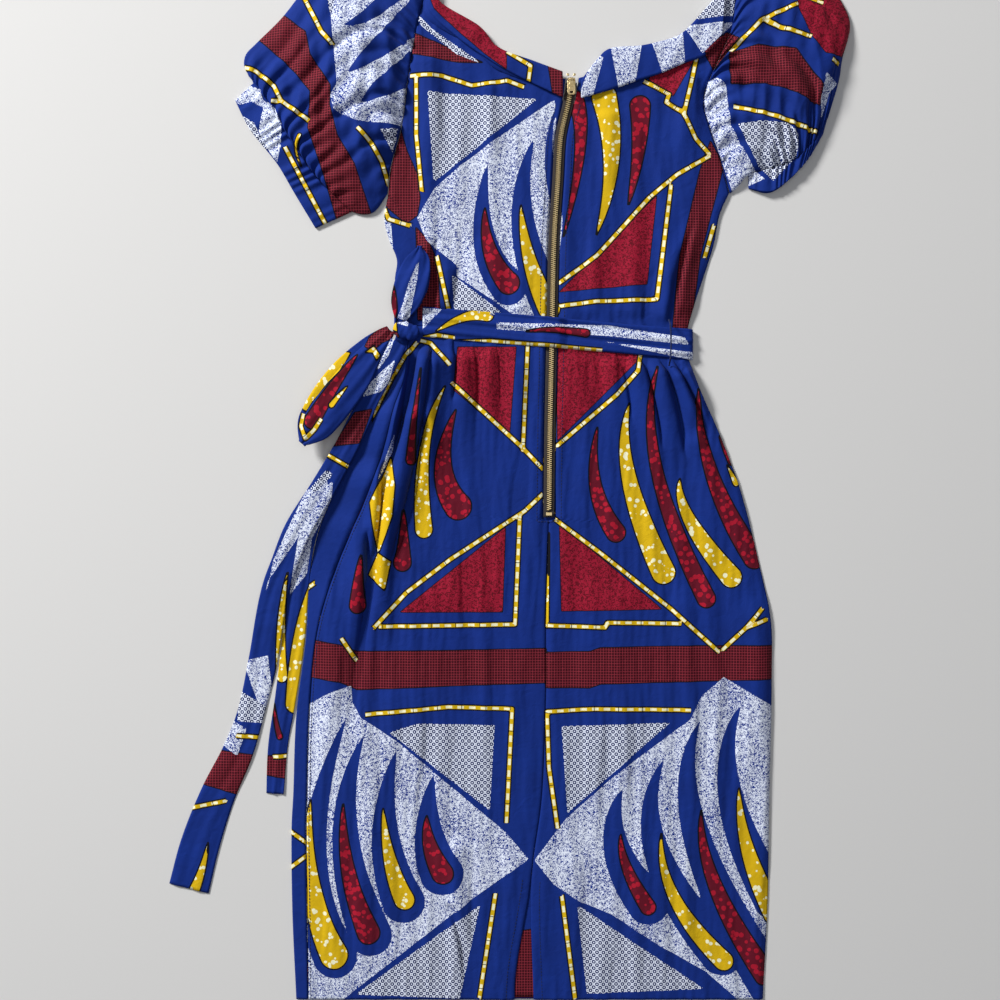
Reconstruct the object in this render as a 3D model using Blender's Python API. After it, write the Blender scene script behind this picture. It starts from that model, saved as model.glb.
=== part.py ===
"""A wax print dress laid flat on its front, with the back, the zip and the tied belt on top.

X runs to the right across the garment, Y from the hem towards the neck, Z up from the surface
that it lies on. The origin is on that surface, under the foot of the centre back zip. Sizes in
this file are millimetres, and MM turns them into metres when a mesh is made.
"""

import math

import bmesh
import bpy
import numpy as np

MM = 0.001
WALL = 1.2      # thickness of a cloth wall
GAP = 0.3       # between pieces that are sewn or lie together
LAYER = WALL + GAP
SLACK = 0.8     # more between front and back, which only lie on each other

HEM_Y = -501
WAIST_Y = 187
ZIP_TOP_Y = 449
ZIP_HALF = 6.6  # half the slot between the back panels that the zip fills
VENT_TOP_Y = -370
VENT_SPREAD = 19  # how far the vent's left edge has swung open at the hem

# Edges of the garment, seen from above, as (x, y) from the bottom up.
SIDE_LEFT = [(-261, HEM_Y), (-265, -413), (-266, -331), (-264, -286), (-261, -208), (-251, -129),
             (-247, -66), (-237, -15), (-219, 29), (-204, 73), (-189, 111), (-170, 145), (-155, 194)]
SIDE_RIGHT = [(221, HEM_Y), (226, -404), (227, -343), (228, -272), (230, -177), (229, -109),
              (216, -46), (207, -9), (197, 27), (187, 55), (172, 92), (154, 130), (141, 170)]
SEAM_LEFT = [(-249, HEM_Y), (-250, -413), (-251, -331), (-250, -286), (-248, -208), (-241, -129),
             (-224, -66), (-203, -15), (-184, 29), (-169, 73), (-159, 111), (-148, 145), (-145, 194)]
CENTRE = [(-16, HEM_Y), (-19, -404), (-16, -356), (-7, -288), (-3, -181), (-3, -109), (0, 0),
          (1, 90), (3, WAIST_Y)]
BODICE_LEFT = [(-152, 194), (-155, 213), (-159, 240), (-157, 262), (-165, 283), (-170, 305),
               (-166, 330)]
BODICE_SEAM_LEFT = [(-145, 194), (-136, 220), (-133, 260), (-137, 287), (-146, 301), (-166, 330)]
BODICE_RIGHT = [(141, 170), (143, 190), (151, 219), (161, 248), (170, 277), (176, 308), (186, 331)]
BODICE_CENTRE = [(3, WAIST_Y), (5, 278), (9, 342), (12, 388), (20, 424), (24, ZIP_TOP_Y)]
ARMHOLE_LEFT = [(-166, 330), (-163, 358), (-152, 400), (-145, 452), (-137, 500), (-126, 548)]
ARMHOLE_RIGHT = [(186, 331), (177, 365), (167, 396), (160, 421), (163, 442), (177, 473), (189, 505),
                 (194, 552)]
NECK_LEFT = [(-126, 548), (-112, 508), (-70, 483), (-40, 464), (0, 440), (24, 436)]
NECK_RIGHT = [(24, 436), (52, 446), (95, 462), (136, 480), (160, 512), (194, 552)]
FRONT_NECK = [(-126, 548), (-106, 500), (-66, 470), (-30, 446), (24, 424), (60, 436), (98, 452),
              (138, 474), (158, 508), (194, 552)]

# Sleeves: each puff lies between its armhole, its gathered line at the cuff and two outlines.
PUFF_LEFT_TOP = [(-126, 548), (-159, 576), (-205, 580), (-241, 555), (-275, 513), (-301, 487),
                 (-313, 474), (-314, 460), (-304, 446)]
PUFF_LEFT_UNDER = [(-166, 330), (-178, 313), (-190, 309), (-203, 312)]
GATHER_LEFT = [(-304, 446), (-283, 414), (-266, 386), (-238, 346), (-203, 312)]
HEM_CUFF_LEFT = [(-324, 427), (-308, 396), (-281, 362), (-262, 330), (-241, 295)]
PUFF_RIGHT_TOP = [(194, 552), (212, 576), (248, 580), (281, 557), (302, 529), (311, 504),
                  (303, 470), (300, 450), (294, 428), (288, 410)]
PUFF_RIGHT_UNDER = [(186, 331), (193, 336), (199, 344), (206, 352)]
GATHER_RIGHT = [(288, 410), (274, 386), (254, 366), (230, 357), (206, 352)]
HEM_CUFF_RIGHT = [(283, 392), (267, 366), (248, 345), (228, 332), (206, 336)]

# Collar bands: a fold line at the neck and the free edge of the layer that is turned down.
COLLAR_FOLD_LEFT = [(-116, 546), (-111, 527), (-72, 503), (-52, 481), (-16, 467), (14, 456)]
COLLAR_FREE_LEFT = [(-124, 534), (-122, 516), (-92, 489), (-68, 472), (-38, 454), (14, 429)]
COLLAR_FOLD_RIGHT = [(33, 447), (50, 469), (64, 480), (96, 483), (125, 490), (140, 498), (164, 524),
                     (182, 545)]
COLLAR_FREE_RIGHT = [(33, 428), (54, 434), (74, 440), (94, 447), (116, 454), (139, 464), (160, 472),
                     (178, 488)]

# Main folds of the back: a line from (x, y) to (x, y), the reach to each side, the rise.
FOLDS = [
    # x0,  y0,   x1,   y1, reach, rise
    (-118, 175, -172,  20, 10.0,  4.5),
    (-132, 165, -196,  40,  8.0,  3.5),
    (-104, 170, -128,  10, 10.0,  4.0),
    ( -86, 170,  -98,  60,  8.0,  2.5),
    (  96, 160,  122,  20, 10.0,  4.0),
    ( 116, 158,  150,  40,  9.0,  3.5),
    ( 130, 150,  176,  70,  8.0,  3.0),
    (-196,   0, -214, -190, 12.0, 3.0),
    (-150, -30, -196, -200, 12.0, 2.5),
    (-120, 230, -128, 420, 10.0,  2.5),
    ( 120, 230,  146, 400, 10.0,  2.5),
]

# The tie: middle line as (x, y, width), from the knot to the end.
TAIL_OUTER = [(-154, 175, 18), (-160, 165, 21), (-168, 150, 21), (-176, 133, 20), (-185, 116, 20),
              (-194, 98, 22), (-207, 72, 23), (-218, 52, 24), (-234, 24, 26),
              (-257, -14, 28), (-272, -50, 28), (-284, -85, 28), (-295, -150, 30), (-308, -206, 28),
              (-322, -247, 32), (-342, -290, 36), (-360, -340, 40), (-372, -387, 42)]
TAIL_INNER = [(-153, 170, 10), (-168, 142, 12), (-187, 109, 14), (-210, 64, 18), (-237, 12, 20),
              (-250, -20, 22), (-256, -45, 23), (-261, -80, 25), (-264, -130, 24), (-272, -190, 22),
              (-280, -240, 20), (-283, -289, 18)]
LOOP_UPPER = [(-153, 200, 12), (-149, 214, 27), (-143, 230, 34), (-138, 247, 32), (-134, 262, 23),
              (-133, 273, 12)]
LOOP_LOWER = [(-163, 188, 11), (-171, 182, 16), (-186, 169, 23), (-205, 146, 34), (-225, 119, 37),
              (-242, 92, 33), (-252, 74, 20)]
KNOT = (-147, 188)
KNOT_SIZE = (27, 18, 9)
KNOT_TURN = math.radians(-12)

# The band of the tie: its middle runs from the left end to the right one at this slope.
BELT_WIDTH = 31
BELT_TILT = -0.085
BELT_LEFT = -160
BELT_RIGHT = 148.5
BELT_TURN = 3.4       # how far the band's ends bulge where they turn round the sides
BELT_LEFT_TOP = 3.6   # height of the band where it turns under the knot
CARRIER = (123, 176)  # middle of the thread loop that holds the band at the right side
CARRIER_REACH = 24

# The zip: half widths and thicknesses, the slider as (width, length, height), the tab on it.
TAPE_HALF = ZIP_HALF - 1.0
CHAIN_HALF = 2.8
CHAIN_THICK = 1.6
STOP_SIZE = (6.4, 3.4, 2)
TOP_STOP_SIZE = (2.6, 2.2, 1.8)
SLIDER_Y = ZIP_TOP_Y - 7
SLIDER_SIZE = (8.6, 11, 3.4)
LUG_SIZE = (1.2, 2.4, 3.4)
LUG_APART = 3.3
PIVOT_AHEAD = 5       # of the tab's pin above the middle of the slider
PIVOT_RISE = 2.2
PIN_RADIUS = 0.6
EYE_RADIUS = 1.0
BARREL_RADIUS = 1.75
TAB_THICK = 1.4
TAB_NECK = (4.2, 8.4)
TAB_BLADE = (8.2, 10)
TAB_HOLE = (3.2, 2.2)

SLEEVE_EDGE = 2.6     # thickness of a flattened sleeve at its folded edges
SLEEVE_RISE = 7       # its height at the armhole
PUFF_RISE = 14        # how much more the puff has in its middle
GATHER_RISE = 4       # how much more it has at the gathers
CUFF_RISE = 8

CLOTH = {
    "royal_blue": ((0.012, 0.035, 0.26, 1), 0.75, 0.0),
    "crimson": ((0.28, 0.012, 0.035, 1), 0.75, 0.0),
    "zip_tape": ((0.02, 0.012, 0.01, 1), 0.8, 0.0),
    "brass": ((0.55, 0.40, 0.17, 1), 0.35, 1.0),
}


def material(name):
    """The material of that name, made on first use."""
    found = bpy.data.materials.get(name)
    if found:
        return found
    colour, roughness, metallic = CLOTH[name]
    made = bpy.data.materials.new(name)
    made.use_nodes = True
    shader = made.node_tree.nodes["Principled BSDF"]
    shader.inputs["Base Color"].default_value = colour
    shader.inputs["Roughness"].default_value = roughness
    shader.inputs["Metallic"].default_value = metallic
    return made


def smooth_step(value):
    """0 below 0, 1 above 1, and a soft S between."""
    value = np.clip(value, 0, 1)
    return value * value * (3 - 2 * value)


def along(points, stations):
    """Points on a smooth curve through the given ones, at a count of stations or at shares of its length."""
    points = np.array(points, float)
    before = 2 * points[:1] - points[1:2]
    after = 2 * points[-1:] - points[-2:-1]
    padded = np.concatenate([before, points, after])
    dense = []
    for p0, p1, p2, p3 in zip(padded, padded[1:], padded[2:], padded[3:]):
        for t in np.arange(0, 1, 0.05):
            dense.append(0.5 * (2 * p1 + (p2 - p0) * t + (2 * p0 - 5 * p1 + 4 * p2 - p3) * t**2
                                + (3 * p1 - p0 - 3 * p2 + p3) * t**3))
    dense.append(points[-1])
    dense = np.array(dense)
    steps = np.linalg.norm(np.diff(dense[:, :2], axis=0), axis=1)
    walked = np.concatenate([[0], np.cumsum(steps)])
    shares = np.linspace(0, 1, stations) if np.isscalar(stations) else stations
    return np.stack([np.interp(shares * walked[-1], walked, column) for column in dense.T], axis=1)


def patch(bottom, top, left, right, shares=None):
    """A grid of (x, y) inside four edges: rows go from bottom to top, columns from left to right."""
    rows, columns = len(left), len(bottom)
    v = (np.linspace(0, 1, rows) if shares is None else shares)[:, None, None]
    u = np.linspace(0, 1, columns)[None, :, None]
    across = (1 - u) * left[:, None] + u * right[:, None]
    up = (1 - v) * bottom[None] + v * top[None]
    corners = ((1 - u) * (1 - v) * bottom[0] + u * (1 - v) * bottom[-1]
               + (1 - u) * v * top[0] + u * v * top[-1])
    return across + up - corners


def level_patch(left, right, columns, shares=None):
    """A patch whose bottom and top edges are straight."""
    return patch(np.linspace(left[0], right[0], columns), np.linspace(left[-1], right[-1], columns),
                 left, right, shares)


def with_height(flat, height):
    """Points (x, y, z) from a grid of (x, y) and its heights."""
    return np.concatenate([flat, height[..., None]], axis=-1)


def front_under(x, y):
    """Underside of the front panels: on the floor, but over the belt where it crosses them."""
    from_waist = np.abs(y - BELT_TILT * x - WAIST_Y)
    return (LAYER + 0.2) * smooth_step((90 - from_waist) / 60)


def fold_height(x, y):
    """How much the folds of the back raise it: each fades out at its ends and sides."""
    total = np.zeros_like(x)
    for x0, y0, x1, y1, reach, rise in FOLDS:
        run = np.array([x1 - x0, y1 - y0], float)
        length = np.hypot(*run)
        ahead = ((x - x0) * run[0] + (y - y0) * run[1]) / length**2
        aside = np.abs((x - x0) * run[1] - (y - y0) * run[0]) / length
        ends = smooth_step(ahead / 0.15) * smooth_step((1 - ahead) / 0.5)
        total = total + rise * ends * smooth_step(1 - aside / (1.6 * reach))
    return total


def back_under(x, y):
    """Underside of the back panels: on the front ones, raised at the vent and along the folds."""
    at_vent = smooth_step((-340 - y) / 30) * smooth_step((60 - np.abs(x + 18)) / 25)
    return front_under(x, y) + LAYER + SLACK + (LAYER + 0.2) * at_vent + fold_height(x, y)


def back_top(x, y):
    """Upper side of the back panels."""
    return back_under(x, y) + WALL


def add_object(name, bm, material_name):
    """An object of the finished mesh, its faces pointing out, smooth but for its sharp edges."""
    bmesh.ops.recalc_face_normals(bm, faces=bm.faces)
    if bm.calc_volume(signed=True) < 0:
        bmesh.ops.reverse_faces(bm, faces=bm.faces)
    mesh = bpy.data.meshes.new(name)
    bm.to_mesh(mesh)
    bm.free()
    mesh.shade_smooth()
    mesh.set_sharp_from_angle(angle=math.radians(40))
    made = bpy.data.objects.new(name, mesh)
    made.data.materials.append(material(material_name))
    bpy.context.scene.collection.objects.link(made)
    return made


def between(name, lower, upper, material_name, loop=False):
    """A closed wall between two grids of points. With loop, its columns go all round a tube."""
    bm = bmesh.new()
    low = [[bm.verts.new(p * MM) for p in row] for row in lower]
    high = [[bm.verts.new(p * MM) for p in row] for row in upper]
    rows, columns = len(low), len(low[0])
    last = columns if loop else columns - 1
    for i in range(rows - 1):
        for j in range(last):
            k = (j + 1) % columns
            bm.faces.new((low[i][j], low[i][k], low[i + 1][k], low[i + 1][j]))
            bm.faces.new((high[i][j], high[i + 1][j], high[i + 1][k], high[i][k]))
    for j in range(last):
        k = (j + 1) % columns
        for i in (0, rows - 1):
            bm.faces.new((low[i][j], high[i][j], high[i][k], low[i][k]))
    for i in range(rows - 1 if not loop else 0):
        for j in (0, columns - 1):
            bm.faces.new((low[i][j], high[i][j], high[i + 1][j], low[i + 1][j]))
    return add_object(name, bm, material_name)


def panel(name, flat, under, material_name):
    """A cloth panel over a flat grid, its underside at the height that under gives."""
    height = under(flat[..., 0], flat[..., 1])
    return between(name, with_height(flat, height), with_height(flat, height + WALL), material_name)


def thickened(outer):
    """The inner side of a wall whose outer side is given, each section of which starts facing down."""
    normal = np.cross(np.gradient(outer, axis=1), np.gradient(outer, axis=0))
    normal /= np.linalg.norm(normal, axis=-1, keepdims=True)
    return outer + normal * WALL * np.sign(normal[:, :1, 2:])


def wrapped_front(name, flat, seam):
    """A front panel whose left edge turns up round the fold and over the back to the side seam."""
    radius = (2 * WALL + GAP) / 2
    turn = np.radians([90, 45, 0, -45, -90])
    rows = []
    for points, end in zip(flat, seam):
        edge = points[0]
        lift = front_under(edge[0], edge[1])
        middle = (points[0] + (radius, 0) + end) / 2
        over = [(*end, back_top(end[0], end[1]))]
        over.append((*middle, 0.5 * (back_top(end[0], end[1]) + lift + 2 * radius)))
        bend = [(edge[0] + radius - radius * math.cos(a), edge[1], lift + radius + radius * math.sin(a))
                for a in turn]
        floor = [(x, y, front_under(x, y)) for x, y in points[1:]]
        rows.append(over + bend + floor)
    outer = np.array(rows)
    inner = 2 * outer - thickened(outer)
    inner[:, 2:, 2] = np.where(outer[:, 2:, 2] < outer[:, 6:7, 2] + 0.01,
                               outer[:, 2:, 2] + WALL, inner[:, 2:, 2])
    return between(name, outer, inner, "royal_blue")


def skirt_panels():
    """The front skirt, and the back one in two halves that part for the zip and at the vent."""
    columns = 12
    # One row of the grid is just below the foot of the zip and the next just above it.
    foot = 0.7185
    rows = np.concatenate([np.linspace(0, foot, 16), np.linspace(foot + 0.002, 1, 8)])
    side_left = along(SIDE_LEFT, rows)
    side_right = along(SIDE_RIGHT, rows)
    seam_left = along(SEAM_LEFT, rows)
    centre = along(CENTRE, rows)
    front = level_patch(side_left, side_right, 9, rows)
    wrapped_front("front_skirt", front, seam_left)
    slot = np.where(rows > foot, ZIP_HALF, GAP / 2)
    opened = smooth_step((VENT_TOP_Y - centre[:, 1]) / (VENT_TOP_Y - HEM_Y)) * VENT_SPREAD
    level = np.zeros(len(rows))
    inner_left = centre - np.stack([slot + opened, level], axis=1)
    inner_right = centre + np.stack([slot, level], axis=1)
    seam = seam_left + (3 * GAP, 0)
    left = level_patch(seam, inner_left, columns, rows)
    right = level_patch(inner_right, side_right, columns, rows)
    panel("back_skirt_left", left, back_under, "royal_blue")
    panel("back_skirt_right", right, back_under, "royal_blue")


def vent_underlap():
    """The extension of the right half that lies under the vent."""
    top = VENT_TOP_Y - 2
    left = along([(-52, HEM_Y + 2), (-44, -440), (-36, top)], 6)
    right = along([(8, HEM_Y + 2), (6, -440), (2, top)], 6)
    flat = level_patch(left, right, 5)
    panel("vent_underlap", flat, lambda x, y: front_under(x, y) + LAYER + GAP, "crimson")


def bodice_panels():
    """The front bodice in one piece, and the back one in two halves with the zip between them."""
    rows, columns = 16, 10
    lift = np.array([0, GAP])
    side_left = np.concatenate([along(BODICE_LEFT, 7), along(ARMHOLE_LEFT, 10)[1:]]) + lift
    seam_left = np.concatenate([along(BODICE_SEAM_LEFT, 7), along(ARMHOLE_LEFT, 10)[1:]]) + lift
    side_right = np.concatenate([along(BODICE_RIGHT, 7), along(ARMHOLE_RIGHT, 10)[1:]]) + lift
    centre = along(BODICE_CENTRE, rows)
    front = patch(np.linspace(side_left[0], side_right[0], 13), along(FRONT_NECK, 13), side_left, side_right)
    panel("front_bodice", front, front_under, "royal_blue")
    # The centre edges stop at the zip, and the top edge follows the neck under the collar.
    inner = centre + lift
    zip_side = np.array([ZIP_HALF, 0])
    left_edge, right_edge = inner - zip_side, inner + zip_side
    neck_left = along(NECK_LEFT, columns)
    neck_right = along(NECK_RIGHT, columns)
    neck_left = neck_left + np.linspace(0, 1, columns)[:, None] * (left_edge[-1] - neck_left[-1])
    neck_right = neck_right + np.linspace(1, 0, columns)[:, None] * (right_edge[-1] - neck_right[0])
    left = patch(np.linspace(seam_left[0] + (GAP, 0), left_edge[0], columns), neck_left,
                 seam_left + (GAP, 0), left_edge)
    right = patch(np.linspace(right_edge[0], side_right[0], columns), neck_right, right_edge, side_right)
    panel("back_bodice_left", left, back_under, "royal_blue")
    panel("back_bodice_right", right, back_under, "royal_blue")


def collar(name, fold, free, reach):
    """A band folded along the neck: its under layer lies on the bodice, its upper one is turned down."""
    columns = 14
    bend = 1.6
    fold = along(fold, columns)
    free = along(free, columns)
    inward = free - fold
    inward /= np.linalg.norm(inward, axis=1, keepdims=True)
    sections = []
    for at, end, way in zip(fold, free, inward):
        under = back_top(*at) + 2 * GAP
        tuck = at + way * reach
        path = [(tuck, under), ((at + tuck) / 2, under), (at + way * bend, under),
                (at + way * 0.4, under + 0.9), (at + way * 0.4, under + 2.6),
                (at + way * bend, under + 3.4), (at + 0.5 * (end - at), under + 3.5),
                (end, under + 3.3)]
        sections.append([(x, y, z) for (x, y), z in path])
    outer = np.array(sections)
    return between(name, outer, thickened(outer), "crimson")


def collars():
    collar("collar_left", COLLAR_FOLD_LEFT, COLLAR_FREE_LEFT, 22)
    collar("collar_right", COLLAR_FOLD_RIGHT, COLLAR_FREE_RIGHT, 15)


def tube(name, flat, height, material_name):
    """A flattened sleeve: its underside is flat on the floor and its upper side rises to height."""
    rows, columns = flat.shape[:2]
    edge = SLEEVE_EDGE
    rise = np.sin(np.pi * np.linspace(0, 1, columns)) ** 0.6
    top = edge + (height[:, None] - edge) * rise[None]
    lift = np.zeros(columns)
    lift[[0, -1]] = edge
    under = np.zeros((rows, columns)) + lift
    upper = with_height(flat, top)
    lower = with_height(flat, under)[:, -2:0:-1]
    outer = np.concatenate([upper, lower], axis=1)
    step = np.gradient(flat, axis=1)
    step /= np.linalg.norm(step, axis=-1, keepdims=True)
    pinched = flat.copy()
    pinched[:, 0] += step[:, 0] * WALL
    pinched[:, -1] -= step[:, -1] * WALL
    inner_top = top - WALL
    inner_top[:, [0, -1]] = edge
    inner_under = under + WALL
    inner = np.concatenate([with_height(pinched, inner_top),
                            with_height(pinched, inner_under)[:, -2:0:-1]], axis=1)
    return between(name, outer, inner, material_name, loop=True)


def sleeve(side, armhole, gather, hem, over, under):
    """A puff from the armhole to its gathered line, and the cuff from there to the hem."""
    rows, columns = 12, 10
    away = 1 if side == "right" else -1
    arm = along(armhole, columns)
    arm[:, 0] += away * 3 * GAP
    cuff_line = along(gather, columns)[::-1]
    upper = along(over, rows)
    lower = along(under, rows)
    lower[:, 0] += away * 3 * GAP
    flat = patch(arm, cuff_line, lower, upper)
    t = np.linspace(0, 1, rows)
    height = SLEEVE_RISE + PUFF_RISE * np.sin(np.pi * t ** 0.8) ** 0.8 + GATHER_RISE * t
    tube(f"sleeve_{side}", flat, height, "royal_blue")
    hem_line = along(hem, columns)[::-1]
    gap_way = hem_line - cuff_line
    gap_way /= np.linalg.norm(gap_way, axis=1, keepdims=True)
    start = cuff_line + gap_way * 3 * GAP
    flat_cuff = level_patch(start, hem_line, 4).transpose(1, 0, 2)
    tube(f"cuff_{side}", flat_cuff, np.full(4, CUFF_RISE), "royal_blue")


def sleeves():
    sleeve("left", ARMHOLE_LEFT, GATHER_LEFT, HEM_CUFF_LEFT, PUFF_LEFT_TOP, PUFF_LEFT_UNDER)
    sleeve("right", ARMHOLE_RIGHT, GATHER_RIGHT, HEM_CUFF_RIGHT, PUFF_RIGHT_TOP, PUFF_RIGHT_UNDER)


def zip_height(x, y):
    """Underside of the zip's tapes, which lie on the front panels."""
    return front_under(x, y) + LAYER + SLACK


def zip_line(count, low=0.0, high=ZIP_TOP_Y - 14):
    """The middle of the zip from its foot up, as (x, y)."""
    line = along(CENTRE[-3:] + BODICE_CENTRE[1:], 60)
    y = np.linspace(low, high, count)
    return np.stack([np.interp(y, line[:, 1], line[:, 0]), y], axis=1)


def strip(line, left, right):
    """A grid of two columns, one to each side of a line."""
    return np.stack([line + (left, 0), line + (right, 0)], axis=1)


def on_tape(x, y):
    """Underside of what sits on the tapes."""
    return zip_height(x, y) + WALL + GAP


def zip_parts():
    """The two tapes, and the closed chain of teeth as one strip."""
    line = zip_line(14, -3.5, ZIP_TOP_Y - 4)
    panel("zip_tape_left", strip(line, -TAPE_HALF, -GAP / 2), zip_height, "zip_tape")
    panel("zip_tape_right", strip(line, GAP / 2, TAPE_HALF), zip_height, "zip_tape")
    chain = strip(zip_line(14, 4, ZIP_TOP_Y - 16), -CHAIN_HALF, CHAIN_HALF)
    height = on_tape(chain[..., 0], chain[..., 1])
    between("zip_chain", with_height(chain, height), with_height(chain, height + CHAIN_THICK), "brass")


def box(name, centre, size, material_name):
    """A block of that size round a centre."""
    bm = bmesh.new()
    bmesh.ops.create_cube(bm, size=MM)
    bmesh.ops.scale(bm, vec=size, verts=bm.verts)
    made = add_object(name, bm, material_name)
    made.location = [c * MM for c in centre]
    return made


def cylinder(name, centre, radius, length):
    """A pin along X."""
    bm = bmesh.new()
    bmesh.ops.create_cone(bm, cap_ends=True, segments=16, radius1=radius * MM, radius2=radius * MM,
                          depth=length * MM)
    made = add_object(name, bm, "brass")
    made.rotation_euler = (0, math.pi / 2, 0)
    made.location = [c * MM for c in centre]
    return made


def combine(body, other, operation="UNION"):
    """Joins the other shape to the body, or cuts it out with operation DIFFERENCE."""
    other.hide_render = True
    other.display_type = "WIRE"
    other.parent = body.parent
    step = body.modifiers.new(other.name, "BOOLEAN")
    step.operation = operation
    step.object = other


def stops_and_slider():
    """The stops at both ends of the chain, and the slider with its pin. Returns where the pin is."""
    foot_x, foot_y = zip_line(2)[0]
    base = on_tape(foot_x, foot_y)
    box("zip_bottom_stop", (foot_x, foot_y, base + STOP_SIZE[2] / 2), STOP_SIZE, "brass")
    x, y = zip_line(2, 0, SLIDER_Y)[1]
    base = on_tape(x, y)
    for side, way in (("left", -1), ("right", 1)):
        centre = (x + way * 3.4, y + 11, base + TOP_STOP_SIZE[2] / 2)
        box(f"zip_top_stop_{side}", centre, TOP_STOP_SIZE, "brass")
    slider = box("zip_slider", (x, y, base + SLIDER_SIZE[2] / 2), SLIDER_SIZE, "brass")
    pivot = (x, y + PIVOT_AHEAD, base + SLIDER_SIZE[2] + PIVOT_RISE)
    for way in (-1, 1):
        centre = (pivot[0] + way * LUG_APART, pivot[1], pivot[2] - 0.8)
        combine(slider, box("lug", centre, LUG_SIZE, "brass"))
    combine(slider, cylinder("pin", pivot, PIN_RADIUS, 2 * LUG_APART - 0.2))
    return pivot


def pull_tab(pivot):
    """The tab, whose eye turns on the slider's pin, and the empty on that pin's axis."""
    hinge = bpy.data.objects.new("pull_hinge", None)
    hinge.location = [c * MM for c in pivot]
    bpy.context.scene.collection.objects.link(hinge)
    neck_width, neck_length = TAB_NECK
    blade_width, blade_length = TAB_BLADE
    tab = box("zip_pull_tab", (0, -neck_length / 2, 0), (neck_width, neck_length, TAB_THICK), "brass")
    tab.parent = hinge
    combine(tab, cylinder("barrel", (0, 0, 0), BARREL_RADIUS, neck_width))
    centre = (0, -blade_length / 2 - 6, 0)
    combine(tab, box("blade", centre, (blade_width, blade_length, TAB_THICK), "brass"))
    combine(tab, cylinder("eye", (0, 0, 0), EYE_RADIUS, 3 * neck_width), "DIFFERENCE")
    hole = box("hole", (0, -13.5, 0), (*TAB_HOLE, 3 * TAB_THICK), "brass")
    combine(tab, hole, "DIFFERENCE")


def clear_top(x, y, reach):
    """A height that clears the back panels for that far round a point."""
    steps = np.array([-reach, -reach / 2, 0, reach / 2, reach])
    dx, dy = np.meshgrid(steps, steps)
    return float(back_top(x + dx, y + dy).max()) + 0.9


def sideways(line):
    """Unit vectors to the left of a line's heading."""
    heading = np.gradient(line[:, :2], axis=0)
    heading /= np.linalg.norm(heading, axis=1, keepdims=True)
    return np.stack([-heading[:, 1], heading[:, 0]], axis=1)


def ribbon(line, heights, hump):
    """Rows across a stretch of the tie, each slightly raised in its middle."""
    across = np.linspace(-0.5, 0.5, 5)
    rows = []
    for (x, y, width), way, height in zip(line, sideways(line), heights):
        rows.append([(x + way[0] * width * a, y + way[1] * width * a, height + hump * (1 - (2 * a) ** 2))
                     for a in across])
    return np.array(rows)


def tail(name, table, layer):
    """A free end of the tie: over the skirt's side, then down to the floor beside it."""
    line = along(table, 26)
    heights = []
    for x, y, width in line:
        over = clear_top(x, y, 26) * smooth_step((y + 75) / 60)
        heights.append(over + layer * smooth_step((y + 160) / 50))
    grid = ribbon(line, heights, 0.6)
    between(name, grid, grid + (0, 0, WALL), "royal_blue")


def tails():
    tail("belt_tail_inner", TAIL_INNER, 0.0)
    tail("belt_tail_outer", TAIL_OUTER, 3.4)


def bow_loop(name, table, base, rise, shift):
    """A loop of the bow: the tie goes out along its middle line, turns over and comes back on top."""
    line = along(table, 12)
    way = sideways(line)
    ground = np.full(len(line), base)
    share = np.linspace(0, 1, len(line))
    low = ribbon(line, ground, 0.5)
    upper_line = line.copy()
    upper_line[:, :2] += way * (shift * np.sin(np.pi * share) ** 0.7)[:, None]
    high = ribbon(upper_line, ground + LAYER + WALL + 0.6 + rise * np.sin(np.pi * share), 1.2)
    tip = line[-1, :2] - line[-2, :2]
    tip = tip / np.linalg.norm(tip)
    ends = []
    for lift, reach in ((0.18, 1.6), (0.5, 2.3), (0.82, 1.6)):
        row = low[-1] * (1 - lift) + high[-1] * lift
        row[:, :2] += tip * reach
        ends.append(row)
    outer = np.concatenate([low, np.array(ends), high[::-1]])
    normal = np.cross(np.gradient(outer, axis=0), np.gradient(outer, axis=1))
    normal /= np.linalg.norm(normal, axis=-1, keepdims=True)
    inner = outer + normal * WALL * np.sign(normal[:1, :, 2:])
    between(name, outer, inner, "royal_blue")


def bow():
    """The knot and the two loops that spring from it."""
    base = clear_top(*KNOT, 12) + 0.4
    bow_loop("bow_loop_upper", LOOP_UPPER, base + 1.6, 3.0, 0)
    bow_loop("bow_loop_lower", LOOP_LOWER, base + 7.0, 5.0, 9)
    bm = bmesh.new()
    bmesh.ops.create_uvsphere(bm, u_segments=16, v_segments=10, radius=0.5 * MM)
    bmesh.ops.scale(bm, vec=KNOT_SIZE, verts=bm.verts)
    knot = add_object("belt_knot", bm, "royal_blue")
    knot.location = (KNOT[0] * MM, KNOT[1] * MM, (base + KNOT_SIZE[2] / 2) * MM)
    knot.rotation_euler = (0, 0, KNOT_TURN)


def belt_under(x, y):
    """Underside of the band over the back: clear of the panels' folds and of the zip."""
    nearby = [back_top(np.array(x + dx), np.array(y + dy)) for dx in (-9, 0, 9) for dy in (-6, 0, 6)]
    zip_rise = 3.6 * smooth_step((16 - abs(x - CENTRE[-1][0])) / 8)
    return max(float(max(nearby)), 5 + zip_rise + WALL) + 1.3


def belt_carrier():
    """The thread loop at the right side that the band runs through."""
    x, middle = CARRIER
    line = along([(x, middle - CARRIER_REACH), (x + 1, middle), (x, middle + CARRIER_REACH)], 9)
    height = np.full(9, max(belt_under(px, py) for px, py in line) + WALL + 0.4)
    height[0] = clear_top(*line[0], 3)
    height[-1] = clear_top(*line[-1], 3)
    grid = with_height(strip(line, -1.2, 1.2), np.stack([height, height], axis=1))
    between("belt_carrier", grid, grid + (0, 0, 1.0), "royal_blue")


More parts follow.
